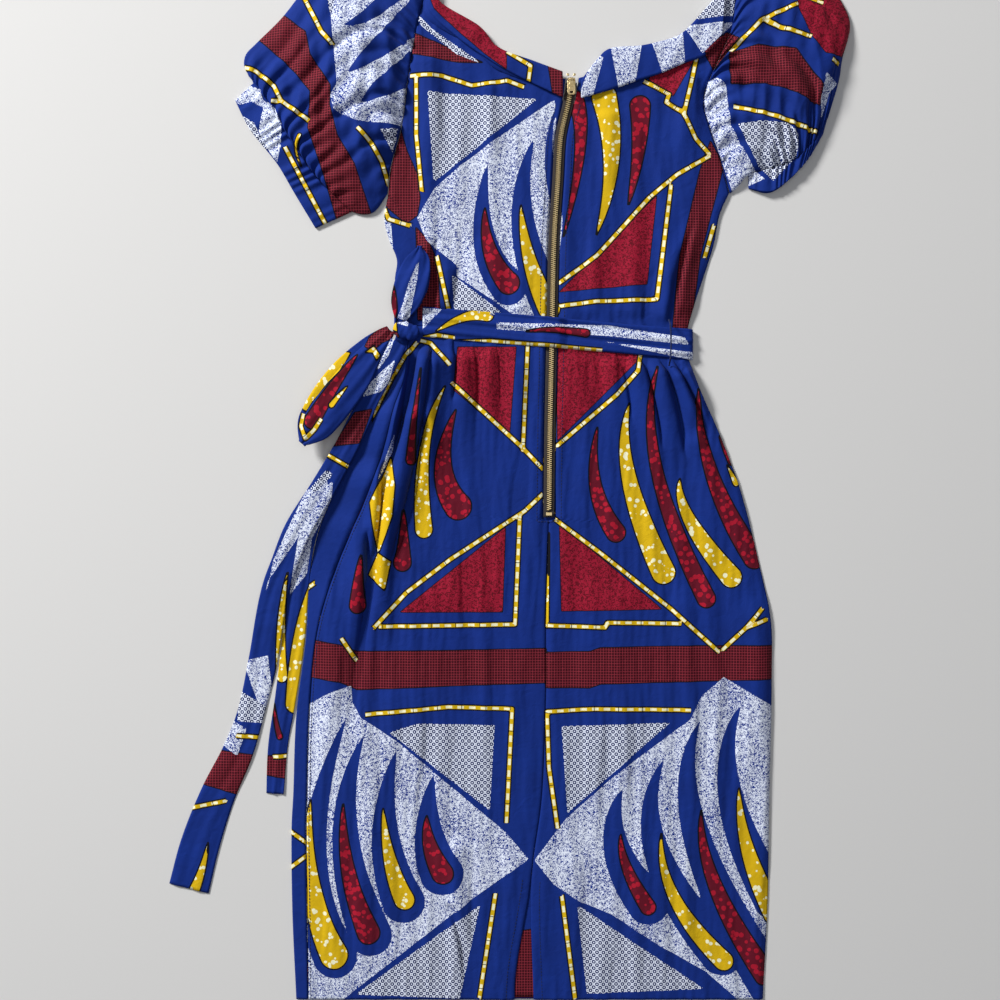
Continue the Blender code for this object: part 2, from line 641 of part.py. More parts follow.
def belt():
    """One band round the waist: over the back, round the right side, under the front, up the left."""
    turn = np.radians([60, 20, -20, -60])
    rows = []
    for off in np.linspace(-BELT_WIDTH / 2, BELT_WIDTH / 2, 4):
        over = [(x, belt_under(x, WAIST_Y + BELT_TILT * x + off) + WALL)
                for x in np.linspace(BELT_LEFT + 30, BELT_RIGHT - 6, 16)]
        half = over[-1][1] / 2
        right = [(BELT_RIGHT - BELT_TURN * (1 - math.cos(a)), half + half * math.sin(a)) for a in turn]
        under = [(x, 0) for x in np.linspace(BELT_RIGHT - 6, BELT_LEFT + 6, 14)]
        half = BELT_LEFT_TOP / 2
        left = [(BELT_LEFT + BELT_TURN * (1 - math.cos(a)), half + half * math.sin(a)) for a in turn[::-1]]
        # The slope is measured at the band's own ends where it turns round the sides.
        level = [*[x for x, _ in over], *[BELT_RIGHT] * 4, *[x for x, _ in under], *[BELT_LEFT] * 4]
        rows.append([(x, WAIST_Y + BELT_TILT * at + off, z)
                     for (x, z), at in zip(over + right + under + left, level)])
    outer = np.transpose(np.array(rows), (1, 0, 2))
    normal = np.cross(np.gradient(outer, axis=0), np.gradient(outer, axis=1))
    normal /= np.linalg.norm(normal, axis=-1, keepdims=True)
    between("belt_band", outer, outer - normal * WALL, "royal_blue")


for thing in list(bpy.data.objects):
    bpy.data.objects.remove(thing, do_unlink=True)
skirt_panels()
vent_underlap()
bodice_panels()
collars()
sleeves()
zip_parts()
pull_tab(stops_and_slider())
belt()
belt_carrier()
bow()
tails()
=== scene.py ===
"""The looks of a wax print dress that lies on its front, with its back, zip and tied belt on top.

Sizes are millimetres in the frame of the CAD part: X to the right, Y from the hem to the neck, Z up
from the floor. MM turns them into metres. Each piece of cloth is a grid of points with a thin wall,
and its print is a set of distances to the edges of the motifs, which the shader turns into inks.
"""

import math

import bmesh
import bpy
import numpy as np
from mathutils import Matrix, Vector


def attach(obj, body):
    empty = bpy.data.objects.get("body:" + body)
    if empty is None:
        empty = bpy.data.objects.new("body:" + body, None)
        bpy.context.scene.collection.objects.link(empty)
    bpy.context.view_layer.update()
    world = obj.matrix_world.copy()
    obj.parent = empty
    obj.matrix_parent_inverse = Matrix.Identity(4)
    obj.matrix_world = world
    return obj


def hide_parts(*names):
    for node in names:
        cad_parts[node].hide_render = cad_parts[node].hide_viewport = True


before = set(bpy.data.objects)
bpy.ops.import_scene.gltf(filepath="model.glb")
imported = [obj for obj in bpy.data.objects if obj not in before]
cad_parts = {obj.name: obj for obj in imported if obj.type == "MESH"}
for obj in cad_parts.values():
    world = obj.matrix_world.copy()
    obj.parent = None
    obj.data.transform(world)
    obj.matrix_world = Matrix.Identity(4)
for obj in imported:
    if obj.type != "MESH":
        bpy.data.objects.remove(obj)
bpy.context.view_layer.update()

MM = 0.001
WALL = 1.2      # thickness of a cloth wall in the CAD part
CLOTH = 0.8     # thickness of the cloth shown
GAP = 0.3       # between layers, and along seams
LAYER = WALL + GAP
SLACK = 0.8     # more room between the front and the back panels

HEM_Y = -501
WAIST_Y = 187
ZIP_TOP_Y = 449
ZIP_HALF = 6.6
VENT_TOP_Y = -370
VENT_SPREAD = 19
FOOT = 0.7185   # share of the skirt's length at which the zip's slot starts

# Edges of the garment, as (x, y) from the bottom up.
SIDE_LEFT = [(-261, HEM_Y), (-265, -413), (-266, -331), (-264, -286), (-261, -208), (-251, -129),
             (-247, -66), (-237, -15), (-219, 29), (-204, 73), (-189, 111), (-170, 145), (-155, 194)]
SIDE_RIGHT = [(221, HEM_Y), (226, -404), (227, -343), (228, -272), (230, -177), (229, -109),
              (216, -46), (207, -9), (197, 27), (187, 55), (172, 92), (154, 130), (141, 170)]
SEAM_LEFT = [(-249, HEM_Y), (-250, -413), (-251, -331), (-250, -286), (-248, -208), (-241, -129),
             (-224, -66), (-203, -15), (-184, 29), (-169, 73), (-159, 111), (-148, 145), (-145, 194)]
CENTRE = [(-16, HEM_Y), (-19, -404), (-16, -356), (-7, -288), (-3, -181), (-3, -109), (0, 0),
          (1, 90), (3, WAIST_Y)]
BODICE_LEFT = [(-152, 194), (-155, 213), (-159, 240), (-157, 262), (-165, 283), (-170, 305),
               (-166, 330)]
BODICE_SEAM_LEFT = [(-145, 194), (-136, 220), (-133, 260), (-137, 287), (-146, 301), (-166, 330)]
BODICE_RIGHT = [(141, 170), (143, 190), (151, 219), (161, 248), (170, 277), (176, 308), (186, 331)]
BODICE_CENTRE = [(3, WAIST_Y), (5, 278), (9, 342), (12, 388), (20, 424), (24, ZIP_TOP_Y)]
ARMHOLE_LEFT = [(-166, 330), (-163, 358), (-152, 400), (-145, 452), (-137, 500), (-126, 548)]
ARMHOLE_RIGHT = [(186, 331), (177, 365), (167, 396), (160, 421), (163, 442), (177, 473), (189, 505),
                 (194, 552)]
NECK_LEFT = [(-126, 548), (-112, 508), (-70, 483), (-40, 464), (0, 440), (24, 436)]
NECK_RIGHT = [(24, 436), (52, 446), (95, 462), (136, 480), (160, 512), (194, 552)]
FRONT_NECK = [(-126, 548), (-106, 500), (-66, 470), (-30, 446), (24, 424), (60, 436), (98, 452),
              (138, 474), (158, 508), (194, 552)]
PUFF_LEFT_TOP = [(-126, 548), (-159, 576), (-205, 580), (-241, 555), (-275, 513), (-301, 487),
                 (-313, 474), (-314, 460), (-304, 446)]
PUFF_LEFT_UNDER = [(-166, 330), (-178, 313), (-190, 309), (-203, 312)]
GATHER_LEFT = [(-304, 446), (-283, 414), (-266, 386), (-238, 346), (-203, 312)]
HEM_CUFF_LEFT = [(-324, 427), (-308, 396), (-281, 362), (-262, 330), (-241, 295)]
PUFF_RIGHT_TOP = [(194, 552), (212, 576), (248, 580), (281, 557), (302, 529), (311, 504),
                  (303, 470), (300, 450), (294, 428), (288, 410)]
PUFF_RIGHT_UNDER = [(186, 331), (193, 336), (199, 344), (206, 352)]
GATHER_RIGHT = [(288, 410), (274, 386), (254, 366), (230, 357), (206, 352)]
HEM_CUFF_RIGHT = [(283, 392), (267, 366), (248, 345), (228, 332), (206, 336)]
COLLAR_FOLD_LEFT = [(-116, 546), (-111, 527), (-72, 503), (-52, 481), (-16, 467), (14, 456)]
COLLAR_FREE_LEFT = [(-124, 534), (-122, 516), (-92, 489), (-68, 472), (-38, 454), (14, 429)]
COLLAR_FOLD_RIGHT = [(33, 447), (50, 469), (64, 480), (96, 483), (125, 490), (140, 498), (164, 524),
                     (182, 545)]
COLLAR_FREE_RIGHT = [(33, 428), (54, 434), (74, 440), (94, 447), (116, 454), (139, 464), (160, 472),
                     (178, 488)]

# The tie: middle line as (x, y, width), from the knot to the end.
TAIL_OUTER = [(-154, 175, 18), (-160, 165, 21), (-168, 150, 21), (-176, 133, 20), (-185, 116, 20),
              (-194, 98, 22), (-207, 72, 23), (-218, 52, 24), (-234, 24, 26),
              (-257, -14, 28), (-272, -50, 28), (-284, -85, 28), (-295, -150, 30), (-308, -206, 28),
              (-322, -247, 32), (-342, -290, 36), (-360, -340, 40), (-372, -387, 42)]
TAIL_INNER = [(-153, 170, 10), (-168, 142, 12), (-187, 109, 14), (-210, 64, 18), (-237, 12, 20),
              (-250, -20, 22), (-256, -45, 23), (-261, -80, 25), (-264, -130, 24), (-272, -190, 22),
              (-280, -240, 20), (-283, -289, 18)]
LOOP_UPPER = [(-153, 200, 12), (-149, 214, 27), (-143, 230, 34), (-138, 247, 32), (-134, 262, 23),
              (-133, 273, 12)]
LOOP_LOWER = [(-163, 188, 11), (-171, 182, 16), (-186, 169, 23), (-205, 146, 34), (-225, 119, 37),
              (-242, 92, 33), (-252, 74, 20)]
KNOT = (-147, 188)
KNOT_SIZE = (27, 18, 9)
KNOT_TURN = math.radians(-12)
BELT_WIDTH = 31
BELT_TILT = -0.085
BELT_LEFT = -160
BELT_RIGHT = 148.5
BELT_TURN = 3.4
BELT_LEFT_TOP = 3.6
CARRIER = (123, 176)
CARRIER_REACH = 24

SLEEVE_EDGE = 2.6
SLEEVE_RISE = 7
PUFF_RISE = 14
GATHER_RISE = 4
CUFF_RISE = 8
GATHERS = 17    # from each seam of a sleeve

# The zip: the tape's half width, the chain's, the spacing of its teeth on one side.
TAPE_HALF = ZIP_HALF - 1.0
CHAIN_HALF = 2.8
TOOTH_PITCH = 2.1
TOOTH = (3.4, 1.25, 1.6)

# Soft folds: from (x, y) to (x, y), the bend between, the reach to each side, the rise.
FOLDS = [
    (-118, 175, -172,   20,  0, 14, 4.5), (-132, 165, -196,   40,  0, 11, 3.5),
    (-104, 170, -128,   10,  0, 14, 4.0), ( -86, 170,  -98,   60,  0, 11, 2.5),
    (  96, 160,  122,   20,  0, 14, 4.0), ( 116, 158,  150,   40,  0, 12, 3.5),
    ( 130, 150,  176,   70,  0, 11, 3.0), (-196,   0, -214, -190,  0, 17, 3.0),
    (-150, -30, -196, -200,  0, 17, 2.5), (-120, 230, -128,  420,  0, 14, 2.5),
    ( 120, 230,  146,  400,  0, 14, 2.5),
]
CREASES = [
    (-133, 178, -170,   40,  4, 15, 16.), (-146, 120, -176,  -70,  5, 14, 12.),
    (-172,  60, -204, -160,  6, 18, 11.), (-114, 176, -136,  -10, -2, 12, 10.),
    ( -92, 172,  -84,   60,  3, 10, 4.0), ( -62, 170,  -60,   90, -2, 11, 3.0),
    ( -28, 166,  -36,   60,  2,  9, 2.4), (  30, 166,   34,   70, -2, 10, 2.8),
    (  62, 164,   70,   60,  3, 11, 4.0), (  86, 164,  104,   40,  4, 10, 6.0),
    ( 108, 162,  134,   20,  5, 10, 7.0), ( 126, 160,  158,   60,  4,  9, 7.0),
    ( 136, 152,  178,   90,  3,  8, 6.0), ( 150,  90,  204,  -60, -6, 16, 5.0),
    (-226, -60, -232, -330,  6, 16, 4.5), (-120, -60, -140, -300, -8, 30, 3.0),
    (  60, -60,   70, -330,  6, 32, 2.8), ( 150, -60,  160, -400, -8, 30, 3.2),
    ( 206, -80,  212, -330,  5, 18, 4.0), (-196, -200, -190, -480, 6, 26, 3.4),
    (  96, -330,  96, -500,  0, 30, 2.6), ( -96, -330, -96, -490,  4, 13, 5.0),
    (-128, 210, -124,  300,  5, 12, 6.0), (-112, 206, -104,  280, -3,  9, 4.5),
    ( -70, 200, -64,   300,  3, 14, 3.0), ( -30, 200, -26,   330,  2, 12, 2.4),
    (  40, 198,   44,  300, -3, 13, 2.6), (  84, 198,   92,  300,  4, 12, 3.6),
    ( 116, 194,  140,  300,  4, 10, 5.0), ( 134, 200,  160,  330,  3,  9, 5.0),
    (  60, 420,   70,  330,  2, 16, 2.8), ( -60, 450,  -60,  350, -4, 16, 3.0),
    (-130, 480, -120,  350,  5, 12, 5.0), ( 150, 460,  140,  350, -4, 12, 5.0),
]
# Narrow valleys between them.
VALLEYS = [
    (-135, 192, -171,   20,  4, 3.6, 40.0), (-129, 104, -168,  -60,  4, 3.4, 34.0),
    (-168,  60, -200, -160,  4, 3.4, 22.0), (-186, -10, -204, -210,  3, 3.4, 12.0),
    (-122, 178, -140,   60,  3, 2.4, 14.0), ( -95, 190,  -99,  112,  0, 2.4, 16.0),
    ( -76, 176,  -74,  100,  2, 2.0,  8.0), ( -52, 174,  -50,  110,  2, 2.0,  5.0),
    (  94, 168,  118,   60,  3, 2.2, 12.0), ( 114, 166,  142,   50,  4, 2.6, 16.0),
    ( 128, 160,  168,   60,  3, 2.2, 14.0), (  74, 168,   86,   90,  2, 2.0,  7.0),
    (  48, 168,   54,  100,  2, 2.0,  5.0), (-120, 206, -114,  290,  3, 2.4, 10.0),
    (-100, 206,  -92,  260, -2, 2.2,  7.0), ( 126, 194,  152,  310,  3, 2.4, 10.0),
    ( 100, 196,  112,  260,  2, 2.2,  6.0), (-104, -400, -84, -490, 3, 3.0,  8.0),
]

# The print. Polygons are lists of corners; the gold ones are inked as yellow. A stroke is a tip, a point
# halfway, a round end and the width there. A line is a list of points.
SKIRT = {
    "band": [
        [(-251, -129), (-215, -135), (-198, -142), (-102, -141), (-3, -139), (-3, -174),
         (-102, -177), (-198, -181), (-215, -173), (-251, -167)],
        [(-3, -143), (42, -142), (53, -138), (156, -136), (232, -136), (232, -170), (156, -172),
         (53, -175), (42, -179), (-3, -179)],
    ],
    "crimson": [
        [(-94, 172), (-34, 172), (-41, 79), (-98, 128)], [(-45, -14), (-48, -101), (-153, -101)],
        [(8, 172), (94, 172), (91, 158), (9, 76)], [(11, -10), (13, -100), (116, -98)],
    ],
    "dots": [
        [(-165, -225), (-135, -216), (-56, -218), (-61, -306)], [(13, -219), (125, -215), (19, -309)],
        [(-71, -403), (-92, -500), (-200, -496)], [(29, -403), (39, -495), (160, -490)],
    ],
    "white": [
        [(-15, -357), (18, -314), (69, -269), (145, -212), (157, -188), (180, -168), (232, -199),
         (234, -510), (200, -505), (160, -471), (112, -444), (65, -413), (32, -400), (5, -382)],
        [(-21, -356), (-44, -329), (-118, -267), (-157, -234), (-194, -210), (-203, -194),
         (-204, -177), (-226, -184), (-254, -200), (-254, -510), (-215, -503), (-151, -453),
         (-74, -393)],
        [(-206, 26), (-194, 72), (-183, 35)],
        [(-158, 84), (-161, 64), (-166, 54), (-176, 34), (-172, 48), (-164, 68)],
    ],
    "gold": [
        [(-163, 58), (-158, 30), (-161, -2), (-168, -22), (-176, -42), (-181, -10), (-184, 12), (-172, 36)],
        [(-176, -40), (-163, -49), (-169, -78), (-186, -63)],
    ],
    "flames": [
        (76, -283, 69, -341, 102, -401, 44), (119, -252, 110, -345, 178, -454, 44),
        (156, -212, 150, -325, 228, -485, 46), (198, -197, 186, -285, 232, -398, 42),
        (-119, -269, -124, -325, -111, -370, 46), (-157, -243, -169, -325, -150, -400, 44),
        (-190, -227, -210, -325, -184, -434, 44), (-208, -208, -243, -346, -221, -456, 46),
    ],
    "red": [
        (50, 89, 48, 30, 69, -19, 19), (111, 151, 110, 50, 162, -87, 18), (153, 128, 168, 40, 212, -45, 22),
        (-96, 107, -109, 50, -94, 8, 27), (-131, 148, -139, 87, -142, 55, 8),
        (-150, 4, -150, -30, -151, -50, 17), (-193, -42, -196, -70, -197, -94, 15),
        (74, -331, 80, -364, 102, -405, 15), (157, -306, 171, -382, 223, -475, 22),
        (-126, -312, -123, -341, -110, -370, 22), (-212, -299, -207, -367, -186, -432, 22),
        (176, 80, 182, 66, 188, 54, 6),
    ],
    "yellow": [
        (0, -20, -1, -70, -2, -116, 3), (83, 114, 82, 40, 118, -60, 24), (135, 36, 145, -6, 188, -65, 21),
        (-107, 131, -128, 66, -129, -16, 17), (116, -330, 129, -395, 180, -461, 19),
        (196, -283, 205, -346, 233, -413, 22), (-171, -304, -164, -356, -149, -398, 20),
        (-246, -295, -245, -382, -222, -455, 28), (184, 50, 189, 40, 193, 32, 6),
    ],
    "lines": [
        [(-22, 174), (-27, 64)], [(-101, 136), (-27, 68), (-5, 45)],
        [(-5, 22), (-25, 3), (-102, -47), (-147, -81), (-182, -119)], [(-30, 0), (-35, -114), (-176, -116)],
        [(95, 168), (91, 147), (70, 123), (7, 69)], [(3, -3), (54, -41), (126, -98), (176, -143)],
        [(178, -141), (203, -117), (221, -96)], [(203, -117), (226, -108)],
        [(-2, -115), (58, -117), (60, -112), (136, -113)],
        [(-190, -207), (-104, -199), (-38, -201), (-44, -320)], [(-55, -390), (-72, -501)],
        [(147, -202), (46, -201), (-2, -204), (0, -262), (9, -325)], [(13, -392), (27, -501)],
        [(-135, 178), (-148, 162)], [(-133, 179), (-122, 176), (-101, 152)], [(-214, -127), (-198, -152)],
    ],
}
SIDE = {"lines": [[(-135, 178), (-148, 162), (-162, 138), (-170, 121), (-186, 93)],
                  [(-268, -327), (-248, -341)], [(-268, -366), (-248, -351)], [(-268, -90), (-240, -70)]]}
BODICE = {
    "dots": [[(-125, 435), (-12, 428), (-119, 342)], [(-100, 247), (-48, 207), (-97, 198)],
             [(-140, 521), (-120, 500), (-68, 464), (-95, 474), (-132, 504)],
             [(160, 560), (200, 560), (193, 514), (150, 514)]],
    "white": [
        [(-136, 305), (-117, 337), (-92, 359), (-50, 390), (6, 428), (14, 300), (3, 190), (-33, 203),
         (-95, 245), (-95, 256), (-126, 281)],
        [(-176, 308), (-164, 312), (-160, 262), (-172, 258)], [(138, 502), (192, 508), (158, 474)],
    ],
    "flames": [(-63, 362, -67, 287, -42, 234, 38), (-15, 388, -27, 303, 3, 212, 40),
               (8, 424, 0, 370, 10, 320, 14)],
    "red": [(-66, 315, -61, 272, -42, 238, 22), (15, 286, 32, 375, 27, 428, 16),
            (82, 319, 92, 373, 94, 421, 20)],
    "yellow": [(-29, 318, -20, 262, 0, 212, 22), (49, 288, 64, 360, 57, 430, 25)],
    "crimson": [[(11, 229), (111, 328), (101, 237)], [(102, 449), (151, 471), (128, 431)]],
    "band": [
        [(-137, 295), (-125, 282), (-115, 260), (-112, 200), (-135, 200)],
        [(167, 385), (180, 359), (156, 267), (145, 185), (127, 185), (135, 267), (156, 354)],
        [(-141, 497), (-69, 466), (-92, 466), (-141, 475)], [(160, 477), (184, 497), (196, 489), (171, 456)],
        [(-153, 396), (-147, 375), (-136, 350), (-133, 325), (-136, 308), (-147, 300), (-168, 318),
         (-166, 360)],
    ],
    "lines": [
        [(-144, 452), (-110, 452), (-80, 442), (-43, 447), (-24, 440)],
        [(-137, 451), (-137, 391), (-131, 331)],
        [(167, 370), (132, 350), (104, 327), (49, 266), (9, 237)],
        [(97, 447), (124, 433), (121, 425), (138, 413), (151, 387), (167, 370)],
        [(10, 214), (49, 219), (111, 221), (126, 340)], [(153, 473), (138, 409)],
        [(-170, 316), (-166, 305), (-141, 297)], [(-116, 267), (-101, 200)], [(171, 300), (160, 262)],
    ],
}
SLEEVE_LEFT = {
    "band": [[(-274, 514), (-250, 494), (-245, 470), (-224, 438), (-225, 419), (-217, 387), (-200, 359),
              (-184, 310), (-215, 290), (-232, 351), (-247, 396), (-244, 432), (-259, 451),
              (-271, 464), (-300, 490)]],
    "white": [[(-212, 580), (-224, 514), (-217, 441), (-224, 428), (-220, 413), (-197, 402), (-150, 399),
               (-145, 441), (-135, 500), (-150, 580)],
              [(-326, 428), (-308, 442), (-297, 437), (-295, 427), (-285, 420), (-295, 419), (-307, 425),
               (-319, 422)],
              [(-294, 420), (-282, 418), (-275, 400), (-276, 378), (-280, 361), (-291, 378), (-299, 394)]],
    "flames": [(-211, 500, -186, 511, -158, 538, 20), (-206, 452, -176, 476, -130, 520, 32),
               (-193, 422, -166, 440, -126, 470, 34), (-205, 560, -190, 562, -160, 566, 16)],
    "dots": [[(-233, 560), (-212, 560), (-224, 509)], [(-173, 394), (-155, 396), (-161, 372)],
             [(-322, 414), (-304, 403), (-298, 391), (-288, 373), (-301, 382), (-316, 398)]],
    "yellow": [(-255, 358, -260, 374, -256, 388, 3.4)],
    "lines": [[(-260, 548), (-251, 529), (-233, 493), (-221, 479)],
              [(-315, 461), (-302, 456), (-283, 440), (-275, 424), (-260, 413), (-245, 402)],
              [(-286, 424), (-275, 424)], [(-272, 378), (-259, 353), (-230, 298)],
              [(-197, 396), (-183, 381), (-172, 362), (-165, 338)]],
}
SLEEVE_RIGHT = {
    "white": [[(161, 444), (158, 424), (173, 380), (190, 330), (205, 338), (222, 345), (209, 357),
               (186, 399),
               (181, 440), (170, 449)],
              [(283, 452), (297, 443), (288, 433), (280, 407), (278, 424)]],
    "band": [[(185, 473), (214, 481), (252, 476), (280, 439), (277, 419), (242, 435), (222, 440),
              (186, 441)],
             [(160, 477), (184, 497), (194, 489), (171, 459)]],
    "dots": [[(193, 400), (214, 402), (244, 400), (256, 390), (254, 367), (231, 343), (215, 357)]],
    "crimson": [[(254, 522), (269, 488), (283, 472), (301, 470), (314, 497), (304, 529), (285, 566),
                 (262, 560)]],
    "lines": [[(185, 474), (217, 506), (255, 523)], [(219, 508), (239, 497), (269, 488)],
              [(188, 418), (228, 408), (276, 392)], [(264, 531), (283, 524)], [(289, 466), (298, 462)]],
}
COLLAR = {
    "crimson": [[(-132, 556), (-110, 556), (-72, 508), (-44, 482), (-44, 458), (-66, 474), (-90, 494),
                 (-118, 520)]],
    "band": [[(-2, 470), (20, 460), (20, 420), (4, 432)], [(160, 477), (184, 497), (194, 489), (171, 459)]],
    "white": [[(29, 425), (42, 462), (52, 472), (56, 470), (44, 426)],
              [(62, 486), (96, 486), (88, 440), (72, 436)],
              [(104, 490), (137, 502), (140, 464), (118, 450)], [(138, 502), (192, 508), (158, 474)]],
    "dots": [[(160, 560), (200, 560), (193, 514), (144, 508)]],
    "lines": [[(-44, 476), (-19, 461), (-22, 440)]],
}
BELT = {
    "white": [[(-54, 197), (60, 194), (139, 182), (144, 174), (60, 183), (-54, 190)],
              [(52, 178), (150, 166), (150, 158)],
              [(-134, 212), (-110, 211), (-130, 190), (-141, 192)]],
    "yellow": [(-116, 188, -88, 202, -64, 205, 13)],
    "lines": [[(-134, 180), (-115, 184), (-96, 181)], [(-95, 177), (-60, 178), (-10, 174), (56, 168)]],
    "red": [(-23, 188, 5, 189, 38, 186, 7)],
}
TIE = {
    "band": [[(-182, 107), (-195, 73), (-222, 70), (-209, 89), (-199, 104)],
             [(-344, -244), (-300, -250), (-320, -290), (-366, -276)],
             [(-306, -250), (-266, -250), (-262, -275), (-300, -268)]],
    "white": [[(-158, 179), (-164, 162), (-174, 148), (-180, 148), (-173, 167), (-170, 176)],
              [(-157, 158), (-164, 135), (-172, 125), (-191, 120), (-184, 133), (-171, 146)],
              [(-250, 24), (-226, 34), (-262, -30), (-290, -70), (-298, -118), (-284, -48)],
              [(-222, 34), (-224, 12), (-244, -25), (-250, -62), (-268, -84), (-256, -14), (-246, 14)],
              [(-316, -152), (-290, -146), (-284, -200), (-300, -196)],
              [(-332, -210), (-312, -222), (-322, -250), (-338, -238)]],
    "dots": [[(-320, -182), (-290, -200), (-296, -216), (-322, -214)],
             [(-246, 26), (-228, 46), (-222, 40), (-240, 22)]],
    "yellow": [(-269, -60, -276, -110, -276, -168, 11), (-240, -60, -256, -120, -262, -196, 19),
               (-352, -340, -358, -366, -366, -388, 10)],
    "red": [(-284, -196, -282, -214, -278, -230, 5)],
    "lines": [[(-230, 62), (-204, 47)], [(-324, -229), (-294, -231)], [(-372, -304), (-332, -296)],
              [(-286, -251), (-270, -250)]],
}
LOOP = {
    "band": [[(-168, 196), (-160, 194), (-154, 182), (-171, 175), (-181, 166), (-188, 171), (-184, 181),
              (-175, 189)]],
    "white": [[(-133, 262), (-135, 241), (-139, 222), (-145, 192), (-158, 196), (-150, 215), (-144, 236),
               (-137, 252)]],
    "gold": [[(-204, 165), (-214, 146), (-227, 133), (-243, 115), (-249, 105), (-256, 112), (-246, 130),
              (-229, 149),
              (-212, 166)],
             [(-187, 165), (-179, 171), (-173, 162), (-176, 157), (-180, 165)],
             [(-164, 198), (-157, 197), (-156, 187), (-162, 190)]],
    "red": [(-196, 162, -219, 131, -242, 95, 15), (-160, 234, -159, 215, -162, 199, 8)],
    "yellow": [(-206, 130, -213, 122, -222, 111, 5)],
    "lines": [[(-251, 104), (-254, 90), (-249, 77), (-240, 86), (-232, 98)]],
}
PLAIN = {}
# Print of the vent's underlap: the dress's dark wine check over all of it, as painted shade for the inside
# of the vent.
VENT_SHADE_CHECK = {"band": [[(-90, -520), (40, -520), (40, -420), (-90, -440)]]}

LINE_HALF = 1.9     # half the width of a yellow line
CHECK_STEP = 2.8    # between the check's pink lines
RING_STEP = 6.6     # between rings in a row
DASH_STEP = 12.0    # between the pale dashes of a yellow line
TICK_STEP = 25.0    # between its dark ticks
FRONT_MIRROR = -20  # the front skirt's print is the back's at FRONT_MIRROR - x
FAR = 12.0          # distances beyond this aren't measured
FIELDS = ("band", "crimson", "white", "dots", "red", "yellow", "line", "run")

# Inks, as linear red, green, blue.
INK = {
    "blue": (0.005, 0.028, 0.225), "navy": (0.004, 0.012, 0.090), "black": (0.004, 0.004, 0.008),
    "wine": (0.050, 0.002, 0.007), "claret": (0.120, 0.005, 0.016), "pink": (0.300, 0.030, 0.046),
    "crimson": (0.300, 0.008, 0.028),
    "grain": (0.110, 0.003, 0.010), "spot": (0.380, 0.008, 0.026), "mustard": (0.640, 0.410, 0.006),
    "cream": (0.860, 0.840, 0.560), "white": (0.740, 0.790, 0.900),
}


def smooth_step(value):
    """0 below 0, 1 above 1, and a soft S between."""
    value = np.clip(value, 0, 1)
    return value * value * (3 - 2 * value)


def along(points, stations):
    """Points on a smooth curve through the given ones, at a count of stations or at shares of its length."""
    points = np.array(points, float)
    before = 2 * points[:1] - points[1:2]
    after = 2 * points[-1:] - points[-2:-1]
    padded = np.concatenate([before, points, after])
    dense = []
    for p0, p1, p2, p3 in zip(padded, padded[1:], padded[2:], padded[3:]):
        for t in np.arange(0, 1, 0.05):
            dense.append(0.5 * (2 * p1 + (p2 - p0) * t + (2 * p0 - 5 * p1 + 4 * p2 - p3) * t**2
                                + (3 * p1 - p0 - 3 * p2 + p3) * t**3))
    dense.append(points[-1])
    dense = np.array(dense)
    steps = np.linalg.norm(np.diff(dense[:, :2], axis=0), axis=1)
    walked = np.concatenate([[0], np.cumsum(steps)])
    shares = np.linspace(0, 1, stations) if np.isscalar(stations) else stations
    return np.stack([np.interp(shares * walked[-1], walked, column) for column in dense.T], axis=1)


def patch(bottom, top, left, right, shares=None):
    """A grid of (x, y) inside four edges: rows go from bottom to top, columns from left to right."""
    rows, columns = len(left), len(bottom)
    v = (np.linspace(0, 1, rows) if shares is None else shares)[:, None, None]
    u = np.linspace(0, 1, columns)[None, :, None]
    across = (1 - u) * left[:, None] + u * right[:, None]
    up = (1 - v) * bottom[None] + v * top[None]
    corners = ((1 - u) * (1 - v) * bottom[0] + u * (1 - v) * bottom[-1]
               + (1 - u) * v * top[0] + u * v * top[-1])
    return across + up - corners


def level_patch(left, right, columns, shares=None):
    """A patch whose bottom and top edges are straight."""
    return patch(np.linspace(left[0], right[0], columns), np.linspace(left[-1], right[-1], columns),
                 left, right, shares)


def with_height(flat, height):
    """Points (x, y, z) from a grid of (x, y) and its heights."""
    return np.concatenate([flat, height[..., None]], axis=-1)


def front_under(x, y):
    """Underside of the front panels: on the floor, but over the belt where it crosses them."""
    from_waist = np.abs(y - BELT_TILT * x - WAIST_Y)
    return (LAYER + 0.2) * smooth_step((90 - from_waist) / 60)


def creased(x, y, table, lean=1.0):
    """How much a table of creases adds. Each fades out at its ends and its sides, and one that runs down
    the cloth is lean times wider on its right."""
    total = np.zeros_like(x)
    for x0, y0, x1, y1, bend, reach, rise in table:
        run = np.array([x1 - x0, y1 - y0], float)
        length = np.hypot(*run)
        ahead = ((x - x0) * run[0] + (y - y0) * run[1]) / length**2
        aside = ((x - x0) * run[1] - (y - y0) * run[0]) / length
        aside = aside + bend * np.sin(np.pi * np.clip(ahead, 0, 1))
        ends = smooth_step(ahead / 0.12) * smooth_step((1 - ahead) / 0.5)
        reach = np.where(aside < 0, reach * lean, reach)
        total = total + rise * ends * np.exp(-(aside / reach)**2)
    return total


def closed_folds(grid, pull):
    """Moves the walls of the valleys towards each other, as in soft folds, but leaves the side edges."""
    slope = np.gradient(grid[..., 2], axis=1) / np.gradient(grid[..., 0], axis=1)
    inside = np.minimum(grid[..., 0] - grid[:, :1, 0], grid[:, -1:, 0] - grid[..., 0])
    grid[..., 0] -= pull * np.clip(slope, -3, 3) * smooth_step((inside - 4) / 12)
    return grid


